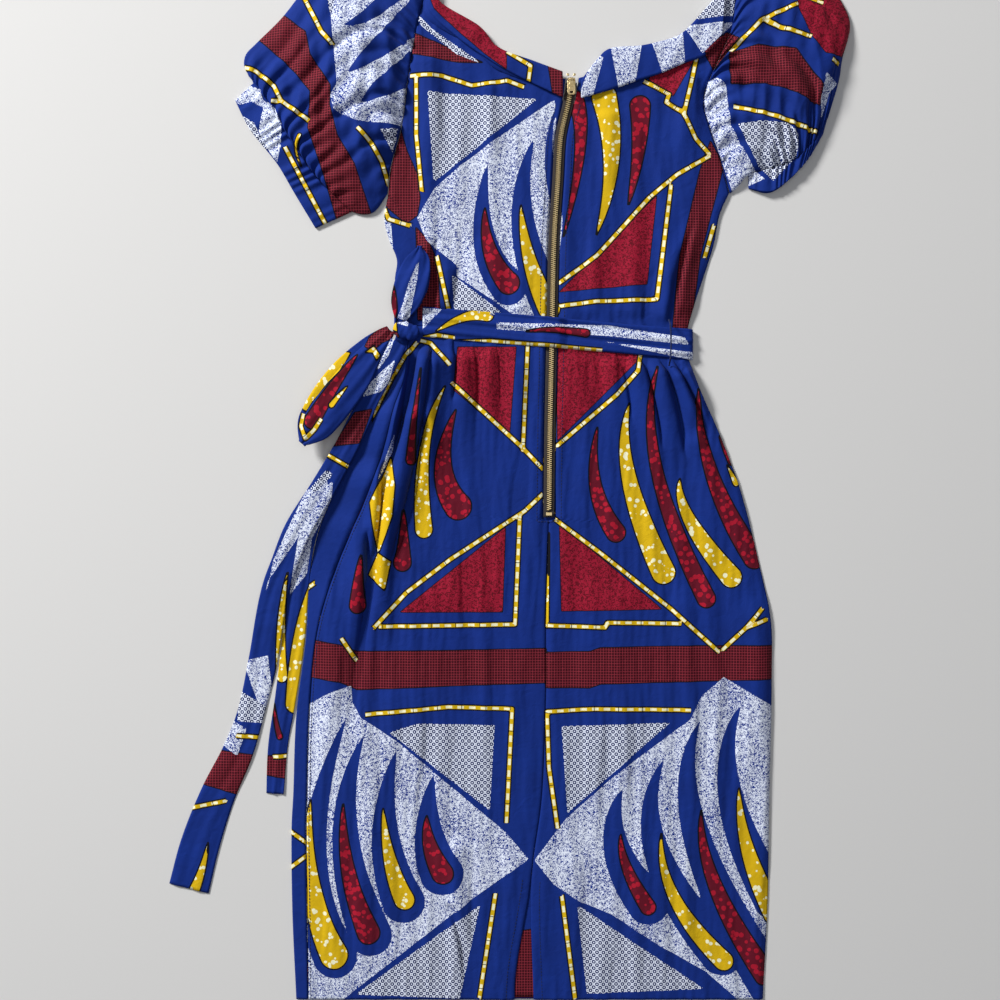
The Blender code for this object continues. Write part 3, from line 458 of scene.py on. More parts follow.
def ripple(x, y, seed, length, stretch):
    """Uneven waves of that length, which run stretch times further up the cloth than across it."""
    random = np.random.default_rng(seed)
    total = np.zeros_like(x)
    for step in range(7):
        turn = random.uniform(-0.5, 0.5)
        wave = 2 * np.pi / (length * random.uniform(0.6, 1.6))
        phase = random.uniform(0, 2 * np.pi)
        across = x * np.cos(turn) + y * np.sin(turn) / stretch
        total = total + np.sin(across * wave + phase + 1.5 * np.sin(y / (length * 2.3) + step))
    return total / 7


def back_lift(x, y):
    """How far folds, creases and ripples raise the back panels above where they would lie flat."""
    lift = creased(x, y, FOLDS) + creased(x, y, CREASES) - creased(x, y, VALLEYS, 1.6)
    lift = lift + 2.2 * ripple(x, y, 3, 34, 4.0) + 0.5 * ripple(x, y, 5, 12, 2.5)
    lift = lift + 1.2 * (0.3 - np.abs(ripple(x, y, 8, 26, 1.6)))
    return np.maximum(lift, -0.4)


def back_rest(x, y):
    """Upper side of the back panels where they lie flat, raised over the vent's underlap."""
    at_vent = smooth_step((-340 - y) / 30) * smooth_step((60 - np.abs(x + 18)) / 25)
    return front_under(x, y) + LAYER + SLACK + (LAYER + 0.2) * at_vent + WALL


def back_top(x, y):
    """Upper side of the back panels."""
    return back_rest(x, y) + back_lift(x, y)


def clear_top(x, y, reach):
    """A height that clears the back panels for that far round a point."""
    steps = np.array([-reach, -reach / 2, 0, reach / 2, reach])
    dx, dy = np.meshgrid(steps, steps)
    return float(back_top(x + dx, y + dy).max()) + 0.9


def polygon_depth(x, y, corners):
    """Distance to a polygon's edge, positive inside."""
    inside = np.zeros(x.shape, bool)
    nearest = np.full(x.shape, FAR)
    for (x0, y0), (x1, y1) in zip(corners, corners[1:] + corners[:1]):
        dx, dy = x1 - x0, y1 - y0
        share = np.clip(((x - x0) * dx + (y - y0) * dy) / (dx * dx + dy * dy), 0, 1)
        nearest = np.minimum(nearest, np.hypot(x - x0 - share * dx, y - y0 - share * dy))
        if dy:
            inside ^= ((y0 > y) != (y1 > y)) & (x < x0 + (y - y0) * dx / dy)
    return np.where(inside, nearest, -nearest)


def stroke_depth(x, y, stroke):
    """Distance to the edge of a stroke that swells from its tip to its round end, positive inside."""
    x0, y0, xm, ym, x1, y1, width = stroke
    t = np.linspace(0, 1, 15)
    px = (1 - t) * (1 - 2 * t) * x0 + 4 * t * (1 - t) * xm + t * (2 * t - 1) * x1
    py = (1 - t) * (1 - 2 * t) * y0 + 4 * t * (1 - t) * ym + t * (2 * t - 1) * y1
    radius = width / 2 * t**0.75
    deepest = np.full(x.shape, -FAR)
    for i in range(len(t) - 1):
        dx, dy = px[i + 1] - px[i], py[i + 1] - py[i]
        share = np.clip(((x - px[i]) * dx + (y - py[i]) * dy) / (dx * dx + dy * dy), 0, 1)
        away = np.hypot(x - px[i] - share * dx, y - py[i] - share * dy)
        deepest = np.maximum(deepest, radius[i] + share * (radius[i + 1] - radius[i]) - away)
    return deepest


def line_depth(x, y, points):
    """Distance inside a line's edge, and how far along the line the nearest point is."""
    nearest = np.full(x.shape, FAR + LINE_HALF)
    run = np.zeros(x.shape)
    walked = 0.0
    for (x0, y0), (x1, y1) in zip(points, points[1:]):
        dx, dy = x1 - x0, y1 - y0
        length = math.hypot(dx, dy)
        ahead = ((x - x0) * dx + (y - y0) * dy) / length**2
        share = np.clip(ahead, 0, 1)
        away = np.hypot(x - x0 - share * dx, y - y0 - share * dy)
        if (x0, y0) == tuple(points[0]):
            away = np.where(ahead < 0, FAR, away)
        if (x1, y1) == tuple(points[-1]):
            away = np.where(ahead > 1, FAR, away)
        closer = away < nearest
        nearest = np.where(closer, away, nearest)
        run = np.where(closer, walked + share * length, run)
        walked += length
    return LINE_HALF - nearest, run


def printed(x, y, motifs):
    """The distances of the print at those places, one array for each of FIELDS."""
    made = {name: np.full(x.shape, -FAR) for name in FIELDS}
    made["run"] = np.zeros(x.shape)
    flames = np.full(x.shape, -FAR)
    for name, table in motifs.items():
        for shape in table:
            pairs = np.array(shape).reshape(-1, 2) if name not in ("flames", "red", "yellow") else \
                np.array(shape[:6]).reshape(3, 2)
            margin = FAR + (shape[6] / 2 + 6 if name in ("flames", "red", "yellow") else 0)
            low, high = pairs.min(axis=0) - margin, pairs.max(axis=0) + margin
            near = (x > low[0]) & (x < high[0]) & (y > low[1]) & (y < high[1])
            px, py = x[near], y[near]
            if name == "lines":
                depth, run = line_depth(px, py, shape)
                made["run"][near] = np.where(depth > made["line"][near], run, made["run"][near])
                made["line"][near] = np.maximum(made["line"][near], depth)
            elif name == "flames":
                flames[near] = np.maximum(flames[near], stroke_depth(px, py, shape))
            elif name in ("red", "yellow"):
                made[name][near] = np.maximum(made[name][near], stroke_depth(px, py, shape))
            else:
                field = "yellow" if name == "gold" else name
                made[field][near] = np.maximum(made[field][near], polygon_depth(px, py, shape))
    made["white"] = np.minimum(made["white"], -flames)
    return made


def cloth(name, outer, motifs, upward=1, loop=False, finish="wax_print"):
    """A piece of cloth whose outer side is a grid of points: a closed loop, or with its first row facing
    upward (1) or downward (-1)."""
    if loop:
        across = np.roll(outer, -1, axis=1) - np.roll(outer, 1, axis=1)
    else:
        across = np.gradient(outer, axis=1)
    normal = np.cross(across, np.gradient(outer, axis=0))
    normal /= np.maximum(np.linalg.norm(normal, axis=-1, keepdims=True), 1e-9)
    if loop:
        turned = ((outer - outer.mean(axis=1, keepdims=True)) * normal).sum() < 0
    else:
        turned = normal[0, :, 2].mean() * upward < 0
    if turned:
        normal = -normal
    inner = outer - normal * CLOTH
    inner[..., 2] = np.maximum(inner[..., 2], 0)
    rows, columns = outer.shape[:2]
    count = rows * columns
    index = np.arange(count).reshape(rows, columns)
    if loop:
        index = np.concatenate([index, index[:, :1]], axis=1)
    a, b, c, d = index[:-1, :-1], index[:-1, 1:], index[1:, 1:], index[1:, :-1]
    over = np.stack([a, b, c, d], axis=-1).reshape(-1, 4)
    faces = [over, over[:, ::-1] + count]
    for edge, way in ((index[0], 1), (index[-1], -1)):
        rim = np.stack([edge[:-1], edge[:-1] + count, edge[1:] + count, edge[1:]], axis=-1)
        faces.append(rim[:, ::way])
    if not loop:
        for edge, way in ((index[:, 0], -1), (index[:, -1], 1)):
            rim = np.stack([edge[:-1], edge[:-1] + count, edge[1:] + count, edge[1:]], axis=-1)
            faces.append(rim[:, ::way])
    faces = np.concatenate(faces)
    if turned:
        faces = faces[:, ::-1]
    points = np.concatenate([outer.reshape(-1, 3), inner.reshape(-1, 3)])
    mesh = bpy.data.meshes.new(name)
    mesh.from_pydata((points * MM).tolist(), [], faces.tolist())
    flat = outer[..., :2].reshape(-1, 2)
    fields = motifs if callable(motifs) else lambda x, y: printed(x, y, motifs)
    for field, values in fields(flat[:, 0].copy(), flat[:, 1].copy()).items():
        layer = mesh.attributes.new(field, "FLOAT", "POINT")
        layer.data.foreach_set("value", np.tile(values, 2).astype(np.float32))
    corners = np.zeros(len(mesh.loops), np.int32)
    mesh.loops.foreach_get("vertex_index", corners)
    layer = mesh.uv_layers.new(name="cloth")
    layer.data.foreach_set("uv", np.tile(flat, (2, 1))[corners].astype(np.float32).ravel())
    mesh.shade_smooth()
    made = bpy.data.objects.new(name, mesh)
    bpy.context.scene.collection.objects.link(made)
    mesh.materials.append(MATERIALS[finish])
    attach(made, "dress")
    return made


class Shader:
    """A material's nodes. Each method adds one and returns its output."""

    def __init__(self, name):
        self.material = bpy.data.materials.new(name)
        self.material.use_nodes = True
        self.tree = self.material.node_tree
        self.surface = self.tree.nodes["Principled BSDF"]

    def put(self, socket, value):
        if isinstance(value, bpy.types.NodeSocket):
            self.tree.links.new(value, socket)
        elif isinstance(value, tuple) and len(value) == 3 and socket.type == "RGBA":
            socket.default_value = (*value, 1)
        else:
            socket.default_value = value

    def math(self, operation, first, second=0.0):
        node = self.tree.nodes.new("ShaderNodeMath")
        node.operation = operation
        self.put(node.inputs[0], first)
        self.put(node.inputs[1], second)
        return node.outputs[0]

    def vector(self, operation, first, second=(0, 0, 0)):
        node = self.tree.nodes.new("ShaderNodeVectorMath")
        node.operation = operation
        self.put(node.inputs[0], first)
        self.put(node.inputs[1], second)
        return node.outputs["Value"] if operation == "LENGTH" else node.outputs[0]

    def mix(self, share, below, above):
        node = self.tree.nodes.new("ShaderNodeMix")
        node.data_type = "RGBA"
        self.put(node.inputs["Factor"], share)
        self.put(node.inputs[6], below)
        self.put(node.inputs[7], above)
        return node.outputs[2]

    def field(self, name):
        node = self.tree.nodes.new("ShaderNodeAttribute")
        node.attribute_name = name
        return node.outputs["Fac"]

    def place(self):
        node = self.tree.nodes.new("ShaderNodeUVMap")
        node.uv_map = "cloth"
        return node.outputs[0]

    def noise(self, vector, scale, detail=2.0, distortion=0.0):
        node = self.tree.nodes.new("ShaderNodeTexNoise")
        self.put(node.inputs["Vector"], vector)
        node.inputs["Scale"].default_value = scale
        node.inputs["Detail"].default_value = detail
        node.inputs["Distortion"].default_value = distortion
        return node.outputs["Fac"]

    def noise_colour(self, vector, scale):
        return self.noise(vector, scale).node.outputs["Color"]

    def cells(self, vector, scale):
        node = self.tree.nodes.new("ShaderNodeTexVoronoi")
        self.put(node.inputs["Vector"], vector)
        node.inputs["Scale"].default_value = scale
        return node.outputs["Distance"]

    def bump(self, height, strength, distance):
        node = self.tree.nodes.new("ShaderNodeBump")
        node.inputs["Strength"].default_value = strength
        node.inputs["Distance"].default_value = distance
        self.put(node.inputs["Height"], height)
        self.put(self.surface.inputs["Normal"], node.outputs[0])

    def over(self, below, above, depth, edge):
        """Ink laid over another where depth is positive, with a black edge of that width round it."""
        edged = self.mix(self.math("GREATER_THAN", depth, -edge), below, INK["black"])
        return self.mix(self.math("GREATER_THAN", depth, 0.0), edged, above)


def wax_print():
    """Printed cotton: royal blue under check bands, crimson, speckled white, rings, drops and lines."""
    ink = Shader("wax_print")
    place = ink.place()
    parts = ink.tree.nodes.new("ShaderNodeSeparateXYZ")
    ink.put(parts.inputs[0], place)
    tone = ink.noise(place, 0.03, 3)
    weave = ink.noise(place, 1.1, 2)
    colour = ink.mix(tone, INK["blue"], tuple(0.5 * (b + n) for b, n in zip(INK["blue"], INK["navy"])))
    # The check: fine pink lines both ways.
    waves = [ink.math("ABSOLUTE",
                      ink.math("SINE", ink.math("MULTIPLY", parts.outputs[i], math.pi / CHECK_STEP)))
             for i in (0, 1)]
    check = ink.mix(ink.math("LESS_THAN", ink.math("MINIMUM", *waves), 0.22), INK["wine"], INK["pink"])
    band = ink.field("band")
    colour = ink.over(colour, check, band, 1.0)
    grain = ink.math("GREATER_THAN", ink.noise(place, 0.42, 2, 1.4), 0.52)
    colour = ink.over(colour, ink.mix(grain, INK["crimson"], INK["grain"]), ink.field("crimson"), 0.8)
    cloud = ink.math("MULTIPLY", ink.math("SUBTRACT", ink.noise(place, 0.02, 2), 0.5), 0.16)
    speckle = ink.math("GREATER_THAN", ink.math("ADD", ink.noise(place, 0.58, 1.5, 1.6), cloud), 0.515)
    colour = ink.over(colour, ink.mix(speckle, INK["white"], INK["blue"]), ink.field("white"), 0.0)
    # Dark rings on white in staggered rows: the nearer of two square lattices, one shifted by half a step.
    lattice = ink.vector("SCALE", place)
    lattice.node.inputs["Scale"].default_value = 1 / RING_STEP
    shifted = ink.vector("ADD", lattice, (0.5, 0.5, 0))
    reach = [ink.vector("LENGTH", ink.vector("SUBTRACT", ink.vector("FRACTION", v), (0.5, 0.5, 0)))
             for v in (lattice, shifted)]
    near = ink.math("MINIMUM", *reach)
    ring = ink.math("MULTIPLY", ink.math("GREATER_THAN", near, 0.11), ink.math("LESS_THAN", near, 0.30))
    ring = ink.math("MAXIMUM", ring, ink.math("GREATER_THAN", near, 0.44))
    colour = ink.over(colour, ink.mix(ring, INK["white"], INK["navy"]), ink.field("dots"), 0.0)
    warped = ink.vector("ADD", place, ink.vector("SCALE", ink.noise_colour(place, 0.16)))
    spots = ink.math("LESS_THAN", ink.cells(warped, 0.165), 0.44)
    colour = ink.over(colour, ink.mix(spots, INK["claret"], INK["spot"]), ink.field("red"), 1.5)
    size = ink.math("MULTIPLY", ink.noise(place, 0.12, 0), 0.62)
    flecks = ink.math("LESS_THAN", ink.cells(warped, 0.17), size)
    colour = ink.over(colour, ink.mix(flecks, INK["mustard"], INK["cream"]), ink.field("yellow"), 1.5)
    # Lines: yellow with pale dashes along the middle and a dark tick now and then.
    run = ink.field("run")
    depth = ink.field("line")
    dash = ink.math("LESS_THAN", ink.math("FRACT", ink.math("DIVIDE", run, DASH_STEP)), 0.55)
    middle = ink.math("GREATER_THAN", depth, 0.5)
    tick = ink.math("LESS_THAN", ink.math("FRACT", ink.math("DIVIDE", run, TICK_STEP)), 0.03)
    line = ink.mix(ink.math("MULTIPLY", dash, middle), INK["mustard"], INK["cream"])
    line = ink.mix(tick, line, INK["black"])
    colour = ink.over(colour, line, depth, 1.4)
    ink.put(ink.surface.inputs["Base Color"], colour)
    ink.surface.inputs["Roughness"].default_value = 0.8
    ink.surface.inputs["Sheen Weight"].default_value = 0.02
    ink.surface.inputs["Specular IOR Level"].default_value = 0.12
    ink.bump(ink.math("ADD", weave, ink.math("MULTIPLY", ink.noise(place, 0.09, 3, 0.6), 6.0)), 0.35, 0.0004)
    return ink.material


def plain(name, colour, roughness):
    """A material of one colour."""
    made = Shader(name)
    made.put(made.surface.inputs["Base Color"], colour)
    made.surface.inputs["Roughness"].default_value = roughness
    return made.material


def edge_drop(away, reach=7.0, drop=1.7):
    """How far a panel curves down towards its edge, at that distance from it."""
    return drop * (1 - smooth_step(away / reach)) ** 1.5


def skirt():
    """The back skirt in two halves, and the front one, which shows beside the left seam."""
    rows = np.concatenate([np.linspace(0, FOOT, 205), np.linspace(FOOT + 0.002, 1, 81)])
    side_left = along(SIDE_LEFT, rows)
    side_right = along(SIDE_RIGHT, rows)
    seam_left = along(SEAM_LEFT, rows)
    centre = along(CENTRE, rows)
    slot = np.where(rows > FOOT, ZIP_HALF, GAP / 2)
    opened = smooth_step((VENT_TOP_Y - centre[:, 1]) / (VENT_TOP_Y - HEM_Y)) * VENT_SPREAD
    level = np.zeros(len(rows))
    inner_left = centre - np.stack([slot + opened, level], axis=1)
    inner_right = centre + np.stack([slot, level], axis=1)
    left = level_patch(seam_left + (3 * GAP, 0), inner_left, 166, rows)
    right = level_patch(inner_right, side_right, 140, rows)
    top = back_top(left[..., 0], left[..., 1])
    top -= (edge_drop(left[..., 0] - left[:, :1, 0], 4.0, 1.2)
            + edge_drop(left[:, -1:, 0] - left[..., 0], 3.2, 1.1))
    yield cloth("cloth_skirt_left", closed_folds(with_height(left, top), 1.0), SKIRT), "back_skirt_left"
    top = back_top(right[..., 0], right[..., 1])
    top -= edge_drop(right[:, -1:, 0] - right[..., 0]) + edge_drop(right[..., 0] - right[:, :1, 0], 3.2, 1.1)
    yield cloth("cloth_skirt_right", closed_folds(with_height(right, top), 0.8), SKIRT), "back_skirt_right"
    yield wrapped_front(side_left, side_right, seam_left, rows), "front_skirt"


def wrapped_front(side_left, side_right, seam, rows):
    """The front skirt, whose left edge turns up round the fold and over to the side seam."""
    radius = (2 * WALL + GAP) / 2
    turn = np.radians(np.linspace(90, -90, 9))
    front = level_patch(side_left, side_right, 60, rows)
    made = []
    for points, end in zip(front, seam):
        edge = points[0]
        lift = float(front_under(edge[0], edge[1]))
        bend = [(edge[0] + radius - radius * math.cos(a), edge[1], lift + radius + radius * math.sin(a))
                for a in turn]
        share = np.linspace(0, 1, 6)[:-1, None]
        finish = float(back_top(np.array(end[0]), np.array(end[1]))) - 0.3
        over = (1 - share) * np.array([[end[0], end[1], finish]]) + share * np.array([bend[0]])
        floor = [(x, y, front_under(x, y)) for x, y in points[1:]]
        made.append([*over, *bend, *floor])
    outer = np.array(made)
    hidden = np.zeros(outer.shape[:2], bool)
    hidden[:, len(over) + len(bend):] = True
    hidden = hidden.ravel()

    def fields(x, y):
        side = printed(x, y, SIDE)
        under = printed(FRONT_MIRROR - x, y, SKIRT)
        return {name: np.where(hidden, under[name], side[name]) for name in FIELDS}

    return cloth("cloth_front_skirt", outer, fields, upward=-1)


def vent_underlap():
    """The extension of the right half, under the vent, printed all over in the dress's dark wine check as
    painted shade for the inside of the vent.
    """
    top = VENT_TOP_Y - 2
    left = along([(-52, HEM_Y + 2), (-44, -440), (-36, top)], 24)
    right = along([(8, HEM_Y + 2), (6, -440), (2, top)], 24)
    flat = level_patch(left, right, 16)
    height = front_under(flat[..., 0], flat[..., 1]) + LAYER + GAP + WALL
    return cloth("cloth_vent_underlap", with_height(flat, height), VENT_SHADE_CHECK)


def bodice():
    """The back bodice in two halves, and the front one in one piece."""
    lift = np.array([0, GAP])
    side_left = np.concatenate([along(BODICE_LEFT, 58), along(ARMHOLE_LEFT, 94)[1:]]) + lift
    seam_left = np.concatenate([along(BODICE_SEAM_LEFT, 58), along(ARMHOLE_LEFT, 94)[1:]]) + lift
    side_right = np.concatenate([along(BODICE_RIGHT, 62), along(ARMHOLE_RIGHT, 90)[1:]]) + lift
    rows = len(seam_left)
    columns = 76
    centre = along(BODICE_CENTRE, rows) + lift
    left_edge, right_edge = centre - (ZIP_HALF, 0), centre + (ZIP_HALF, 0)
    neck_left = along(NECK_LEFT, columns)
    neck_right = along(NECK_RIGHT, columns)
    neck_left = neck_left + np.linspace(0, 1, columns)[:, None] * (left_edge[-1] - neck_left[-1])
    neck_right = neck_right + np.linspace(1, 0, columns)[:, None] * (right_edge[-1] - neck_right[0])
    left = patch(np.linspace(seam_left[0] + (GAP, 0), left_edge[0], columns), neck_left,
                 seam_left + (GAP, 0), left_edge)
    right = patch(np.linspace(right_edge[0], side_right[0], columns), neck_right, right_edge, side_right)
    top = back_top(left[..., 0], left[..., 1]) - edge_drop(left[..., 0] - left[:, :1, 0], 4.0, 1.2)
    yield cloth("cloth_bodice_left", with_height(left, top), BODICE), "back_bodice_left"
    top = back_top(right[..., 0], right[..., 1]) - edge_drop(right[:, -1:, 0] - right[..., 0])
    yield cloth("cloth_bodice_right", with_height(right, top), BODICE), "back_bodice_right"
    front = patch(np.linspace(side_left[0], side_right[0], 90), along(FRONT_NECK, 90), side_left, side_right)
    x, y = front[..., 0], front[..., 1]
    top = front_under(x, y) + WALL + 0.5 * ripple(x, y, 9, 30, 2.0)
    yield cloth("cloth_front_bodice", with_height(front, np.maximum(top, CLOTH)), BODICE), "front_bodice"


def collar(side, fold, free, reach, seed):
    """A band folded along the neck: its under layer on the bodice, its upper one turned down."""
    columns = 90
    bend = 1.6
    fold = along(fold, columns)
    free = along(free, columns)
    inward = free - fold
    inward /= np.linalg.norm(inward, axis=1, keepdims=True)
    sections = []
    for at, end, way, step in zip(fold, free, inward, range(columns)):
        under = float(back_rest(*at)) + float(creased(at[:1], at[1:], FOLDS)[0]) + 2 * GAP
        tuck = at + way * reach
        wave = 0.7 * math.sin(step * 0.21 + seed) + 0.4 * math.sin(step * 0.53 + 2 * seed)
        path = [(tuck, under), ((at + tuck) / 2, under), (at + way * bend, under),
                (at + way * 0.4, under + 0.9), (at, under + 1.8), (at + way * 0.4, under + 2.7),
                (at + way * bend, under + 3.5)]
        for share in np.linspace(0.12, 1, 12):
            rise = 3.6 + wave * math.sin(math.pi * share) + 0.9 * math.sin(math.pi * share)
            path.append((at + share * (end - at), under + rise - 0.5 * share))
        sections.append([(x, y, z) for (x, y), z in path])
    outer = np.array(sections).transpose(1, 0, 2)
    made = cloth(f"cloth_collar_{side}", outer, COLLAR, upward=-1)
    return made, f"collar_{side}"


def tube(name, flat, top, motifs):
    """A flattened sleeve: flat on the floor underneath, and rising to the grid top above."""
    rows, columns = flat.shape[:2]
    lift = np.zeros(columns)
    lift[[0, -1]] = SLEEVE_EDGE
    lift[[1, -2]] = 0.5
    upper = with_height(flat, top)
    lower = with_height(flat, np.zeros((rows, columns)) + lift)[:, -2:0:-1]
    return cloth(name, np.concatenate([upper, lower], axis=1), motifs, loop=True)


def sleeve(side, armhole, gather, hem, over, under, motifs, seed):
    """A puff from the armhole to its gathered line, and the cuff from there to the hem."""
    rows, columns = 96, 132
    away = 1 if side == "right" else -1
    random = np.random.default_rng(seed)
    arm = along(armhole, columns)
    arm[:, 0] += away * 3 * GAP
    cuff_line = along(gather, columns)[::-1]
    upper = along(over, rows)
    lower = along(under, rows)
    lower[:, 0] += away * 3 * GAP
    flat = patch(arm, cuff_line, lower, upper)
    t = np.linspace(0, 1, rows)
    s = np.linspace(0, 1, columns)
    height = SLEEVE_RISE + PUFF_RISE * np.sin(np.pi * t ** 0.8) ** 0.8 + GATHER_RISE * t
    rise = np.sin(np.pi * s) ** 0.6
    top = SLEEVE_EDGE + (height[:, None] - SLEEVE_EDGE) * rise[None]
    # Gathers run from both seams into the puff and fade, each with its own width and length.
    for start, way in ((0.0, 1), (1.0, -1)):
        places = (np.arange(GATHERS) + random.uniform(0.15, 0.85, GATHERS)) / GATHERS
        for place in places:
            length = random.uniform(0.3, 0.95)
            drift = random.uniform(-0.10, 0.10)
            width = random.uniform(0.010, 0.020)
            depth = random.uniform(4.0, 10.0)
            along_it = (t - start) * way / length
            centre = place + drift * np.clip(along_it, 0, 1) ** 2
            fade = np.clip(1 - along_it, 0, 1)[:, None]
            spread = width * (1 + 1.5 * (1 - fade))
            valley = np.exp(-((s[None] - centre[:, None]) / spread) ** 2)
            top = top - depth * fade * valley * rise[None]
    x, y = flat[..., 0], flat[..., 1]
    top = top + (3.0 * ripple(x, y, seed + 2, 26, 1.2)
                 - 3.0 * np.abs(ripple(x, y, seed + 5, 38, 1.0))) * rise[None]
    top = np.maximum(top, SLEEVE_EDGE)
    yield tube(f"cloth_sleeve_{side}", flat, top, motifs), f"sleeve_{side}"
    hem_line = along(hem, columns)[::-1]
    way = hem_line - cuff_line
    way /= np.linalg.norm(way, axis=1, keepdims=True)
    start = cuff_line + way * 3 * GAP
    flat_cuff = level_patch(start, hem_line, 18).transpose(1, 0, 2)
    v = np.linspace(0, 1, 18)[:, None]
    top = SLEEVE_EDGE + (CUFF_RISE - SLEEVE_EDGE) * rise[None] * np.ones((18, 1))
    pleats = 1.6 * np.sin(s * 88 + 3 * np.sin(s * 19))[None] * (1 - 0.55 * v)
    top = np.maximum(top + pleats * rise[None] + 1.2 * (1 - v) * rise[None], SLEEVE_EDGE)
    yield tube(f"cloth_cuff_{side}", flat_cuff, top, motifs), f"cuff_{side}"


def sideways(line):
    """Unit vectors to the left of a line's heading."""
    heading = np.gradient(line[:, :2], axis=0)
    heading /= np.linalg.norm(heading, axis=1, keepdims=True)
    return np.stack([-heading[:, 1], heading[:, 0]], axis=1)


def ribbon(line, heights, hump, seed, crease=0.5):
    """Rows across a stretch of the tie, raised in the middle and creased lengthwise."""
    across = np.linspace(-0.5, 0.5, 17)
    rows = []
    for step, ((x, y, width), way, height) in enumerate(zip(line, sideways(line), heights)):
        drift = 0.6 * math.sin(step * 0.09 + seed)
        fold = (crease * np.sin(across * 11 + drift * 3 + seed)
                + 0.4 * crease * np.sin(across * 23 + step * 0.15))
        lift = height + hump * (1 - (2 * across) ** 2) + fold
        rows.append(np.stack([x + way[0] * width * across, y + way[1] * width * across, lift], axis=1))
    return np.array(rows)


def tail(name, table, layer, seed):
    """A free end of the tie: over the skirt's side, then down to the floor beside it."""
    line = along(table, 190)
    heights = []
    for x, y, _ in line[::10]:
        over = clear_top(x, y, 14) * smooth_step((y + 75) / 60)
        heights.append(over + layer * smooth_step((y + 160) / 50) + CLOTH + 0.6)
    heights = np.interp(np.arange(190), np.arange(0, 190, 10), heights)
    grid = ribbon(line, heights, 0.8, seed)
    grid[..., 2] = np.maximum(grid[..., 2], CLOTH)
    return cloth(f"cloth_{name}", grid, TIE), name


def bow_loop(name, table, base, rise, shift, seed):
    """A loop of the bow: the tie goes out along its middle line, turns over and comes back on top."""
    line = along(table, 60)
    way = sideways(line)
    share = np.linspace(0, 1, len(line))
    line[:, 2] *= np.sqrt(1 - 0.8 * np.clip((share - 0.84) / 0.16, 0, 1) ** 2)
    low = ribbon(line, np.full(len(line), base), 0.5, seed, 0.2)
    upper_line = line.copy()
    upper_line[:, :2] += way * (shift * np.sin(np.pi * share) ** 0.7)[:, None]
    high = ribbon(upper_line, base + LAYER + WALL + 0.6 + rise * np.sin(np.pi * share), 1.2, seed + 1, 0.8)
    tip = line[-1, :2] - line[-2, :2]
    tip = tip / np.linalg.norm(tip)
    ends = []
    for angle in np.radians(np.linspace(-60, 60, 7)):
        lift = 0.5 + 0.5 * math.sin(angle)
        row = low[-1] * (1 - lift) + high[-1] * lift
        row[:, :2] += tip * 2.3 * math.cos(angle)
        ends.append(row)
    outer = np.concatenate([low, np.array(ends), high[::-1]])
    return cloth(f"cloth_{name}", outer, LOOP, upward=-1), name


def knot(base):
    """The knot: a rounded wrap with creases that run across it."""
    u = np.linspace(0, 2 * np.pi, 49)[:-1]
    v = np.linspace(0.12, np.pi - 0.12, 26)
    x = np.cos(v)[:, None] * np.ones(48)
    ring = np.sin(v)[:, None] ** 0.7
    y = ring * np.cos(u)
    z = ring * np.sin(u)
    fold = 1 + 0.10 * np.sin(7 * x + 2.4 * y) + 0.05 * np.sin(15 * x - 3 * y)
    x, y, z = 0.5 * KNOT_SIZE[0] * x, 0.5 * KNOT_SIZE[1] * y * fold, 0.5 * KNOT_SIZE[2] * z * fold
    turned_x = KNOT[0] + x * math.cos(KNOT_TURN) - y * math.sin(KNOT_TURN)
    turned_y = KNOT[1] + x * math.sin(KNOT_TURN) + y * math.cos(KNOT_TURN)
    grid = np.stack([turned_x, turned_y, base + KNOT_SIZE[2] / 2 + z], axis=-1)
    return cloth("cloth_knot", grid, LOOP, loop=True), "belt_knot"


def bow():
    """The knot, the two loops and the two free ends."""
    base = clear_top(*KNOT, 12) + 0.4
    yield knot(base)
    yield bow_loop("bow_loop_upper", LOOP_UPPER, base + 1.6, 3.0, 0, 1)
    yield bow_loop("bow_loop_lower", LOOP_LOWER, base + 7.0, 5.0, 9, 4)
    yield tail("belt_tail_inner", TAIL_INNER, 0.0, 2)
    yield tail("belt_tail_outer", TAIL_OUTER, 3.4, 5)


def belt_under(x, y):
    """Underside of the band over the back: clear of the panels' folds and of the zip."""
    nearby = [back_top(np.array(x + dx), np.array(y + dy)) for dx in (-9, 0, 9) for dy in (-6, 0, 6)]
    zip_rise = 3.6 * smooth_step((16 - abs(x - CENTRE[-1][0])) / 8)
    return max(float(max(nearby)), 5 + zip_rise + WALL) + 0.9


def belt():
    """One band round the waist: over the back, round the right side, under the front, up the left."""
    turn = np.radians([60, 20, -20, -60])
    stations = np.linspace(BELT_LEFT + 30, BELT_RIGHT - 6, 34)
    middle = [belt_under(x, WAIST_Y + BELT_TILT * x) for x in stations]
    fine = np.linspace(stations[0], stations[-1], 150)
    height = np.interp(fine, stations, middle)
    rows = []
    for off in np.linspace(-0.5, 0.5, 19):
        crease = 0.9 * np.sin(off * 15 + 0.8 * np.sin(fine / 40)) + 0.5 * np.sin(off * 29 + fine / 31)
        over = list(zip(fine, height + WALL + crease - 1.2 * abs(2 * off) ** 3))
        half = over[-1][1] / 2
        right = [(BELT_RIGHT - BELT_TURN * (1 - math.cos(a)), half + half * math.sin(a)) for a in turn]
        under = [(x, 0) for x in np.linspace(BELT_RIGHT - 6, BELT_LEFT + 6, 14)]
        half = BELT_LEFT_TOP / 2
        left = [(BELT_LEFT + BELT_TURN * (1 - math.cos(a)), half + half * math.sin(a)) for a in turn[::-1]]
        level = [*fine, *[BELT_RIGHT] * 4, *[x for x, _ in under], *[BELT_LEFT] * 4]
        rows.append([(x, WAIST_Y + BELT_TILT * at + off * BELT_WIDTH, z)
                     for (x, z), at in zip(over + right + under + left, level)])
    return cloth("cloth_belt", np.array(rows), BELT), "belt_band"


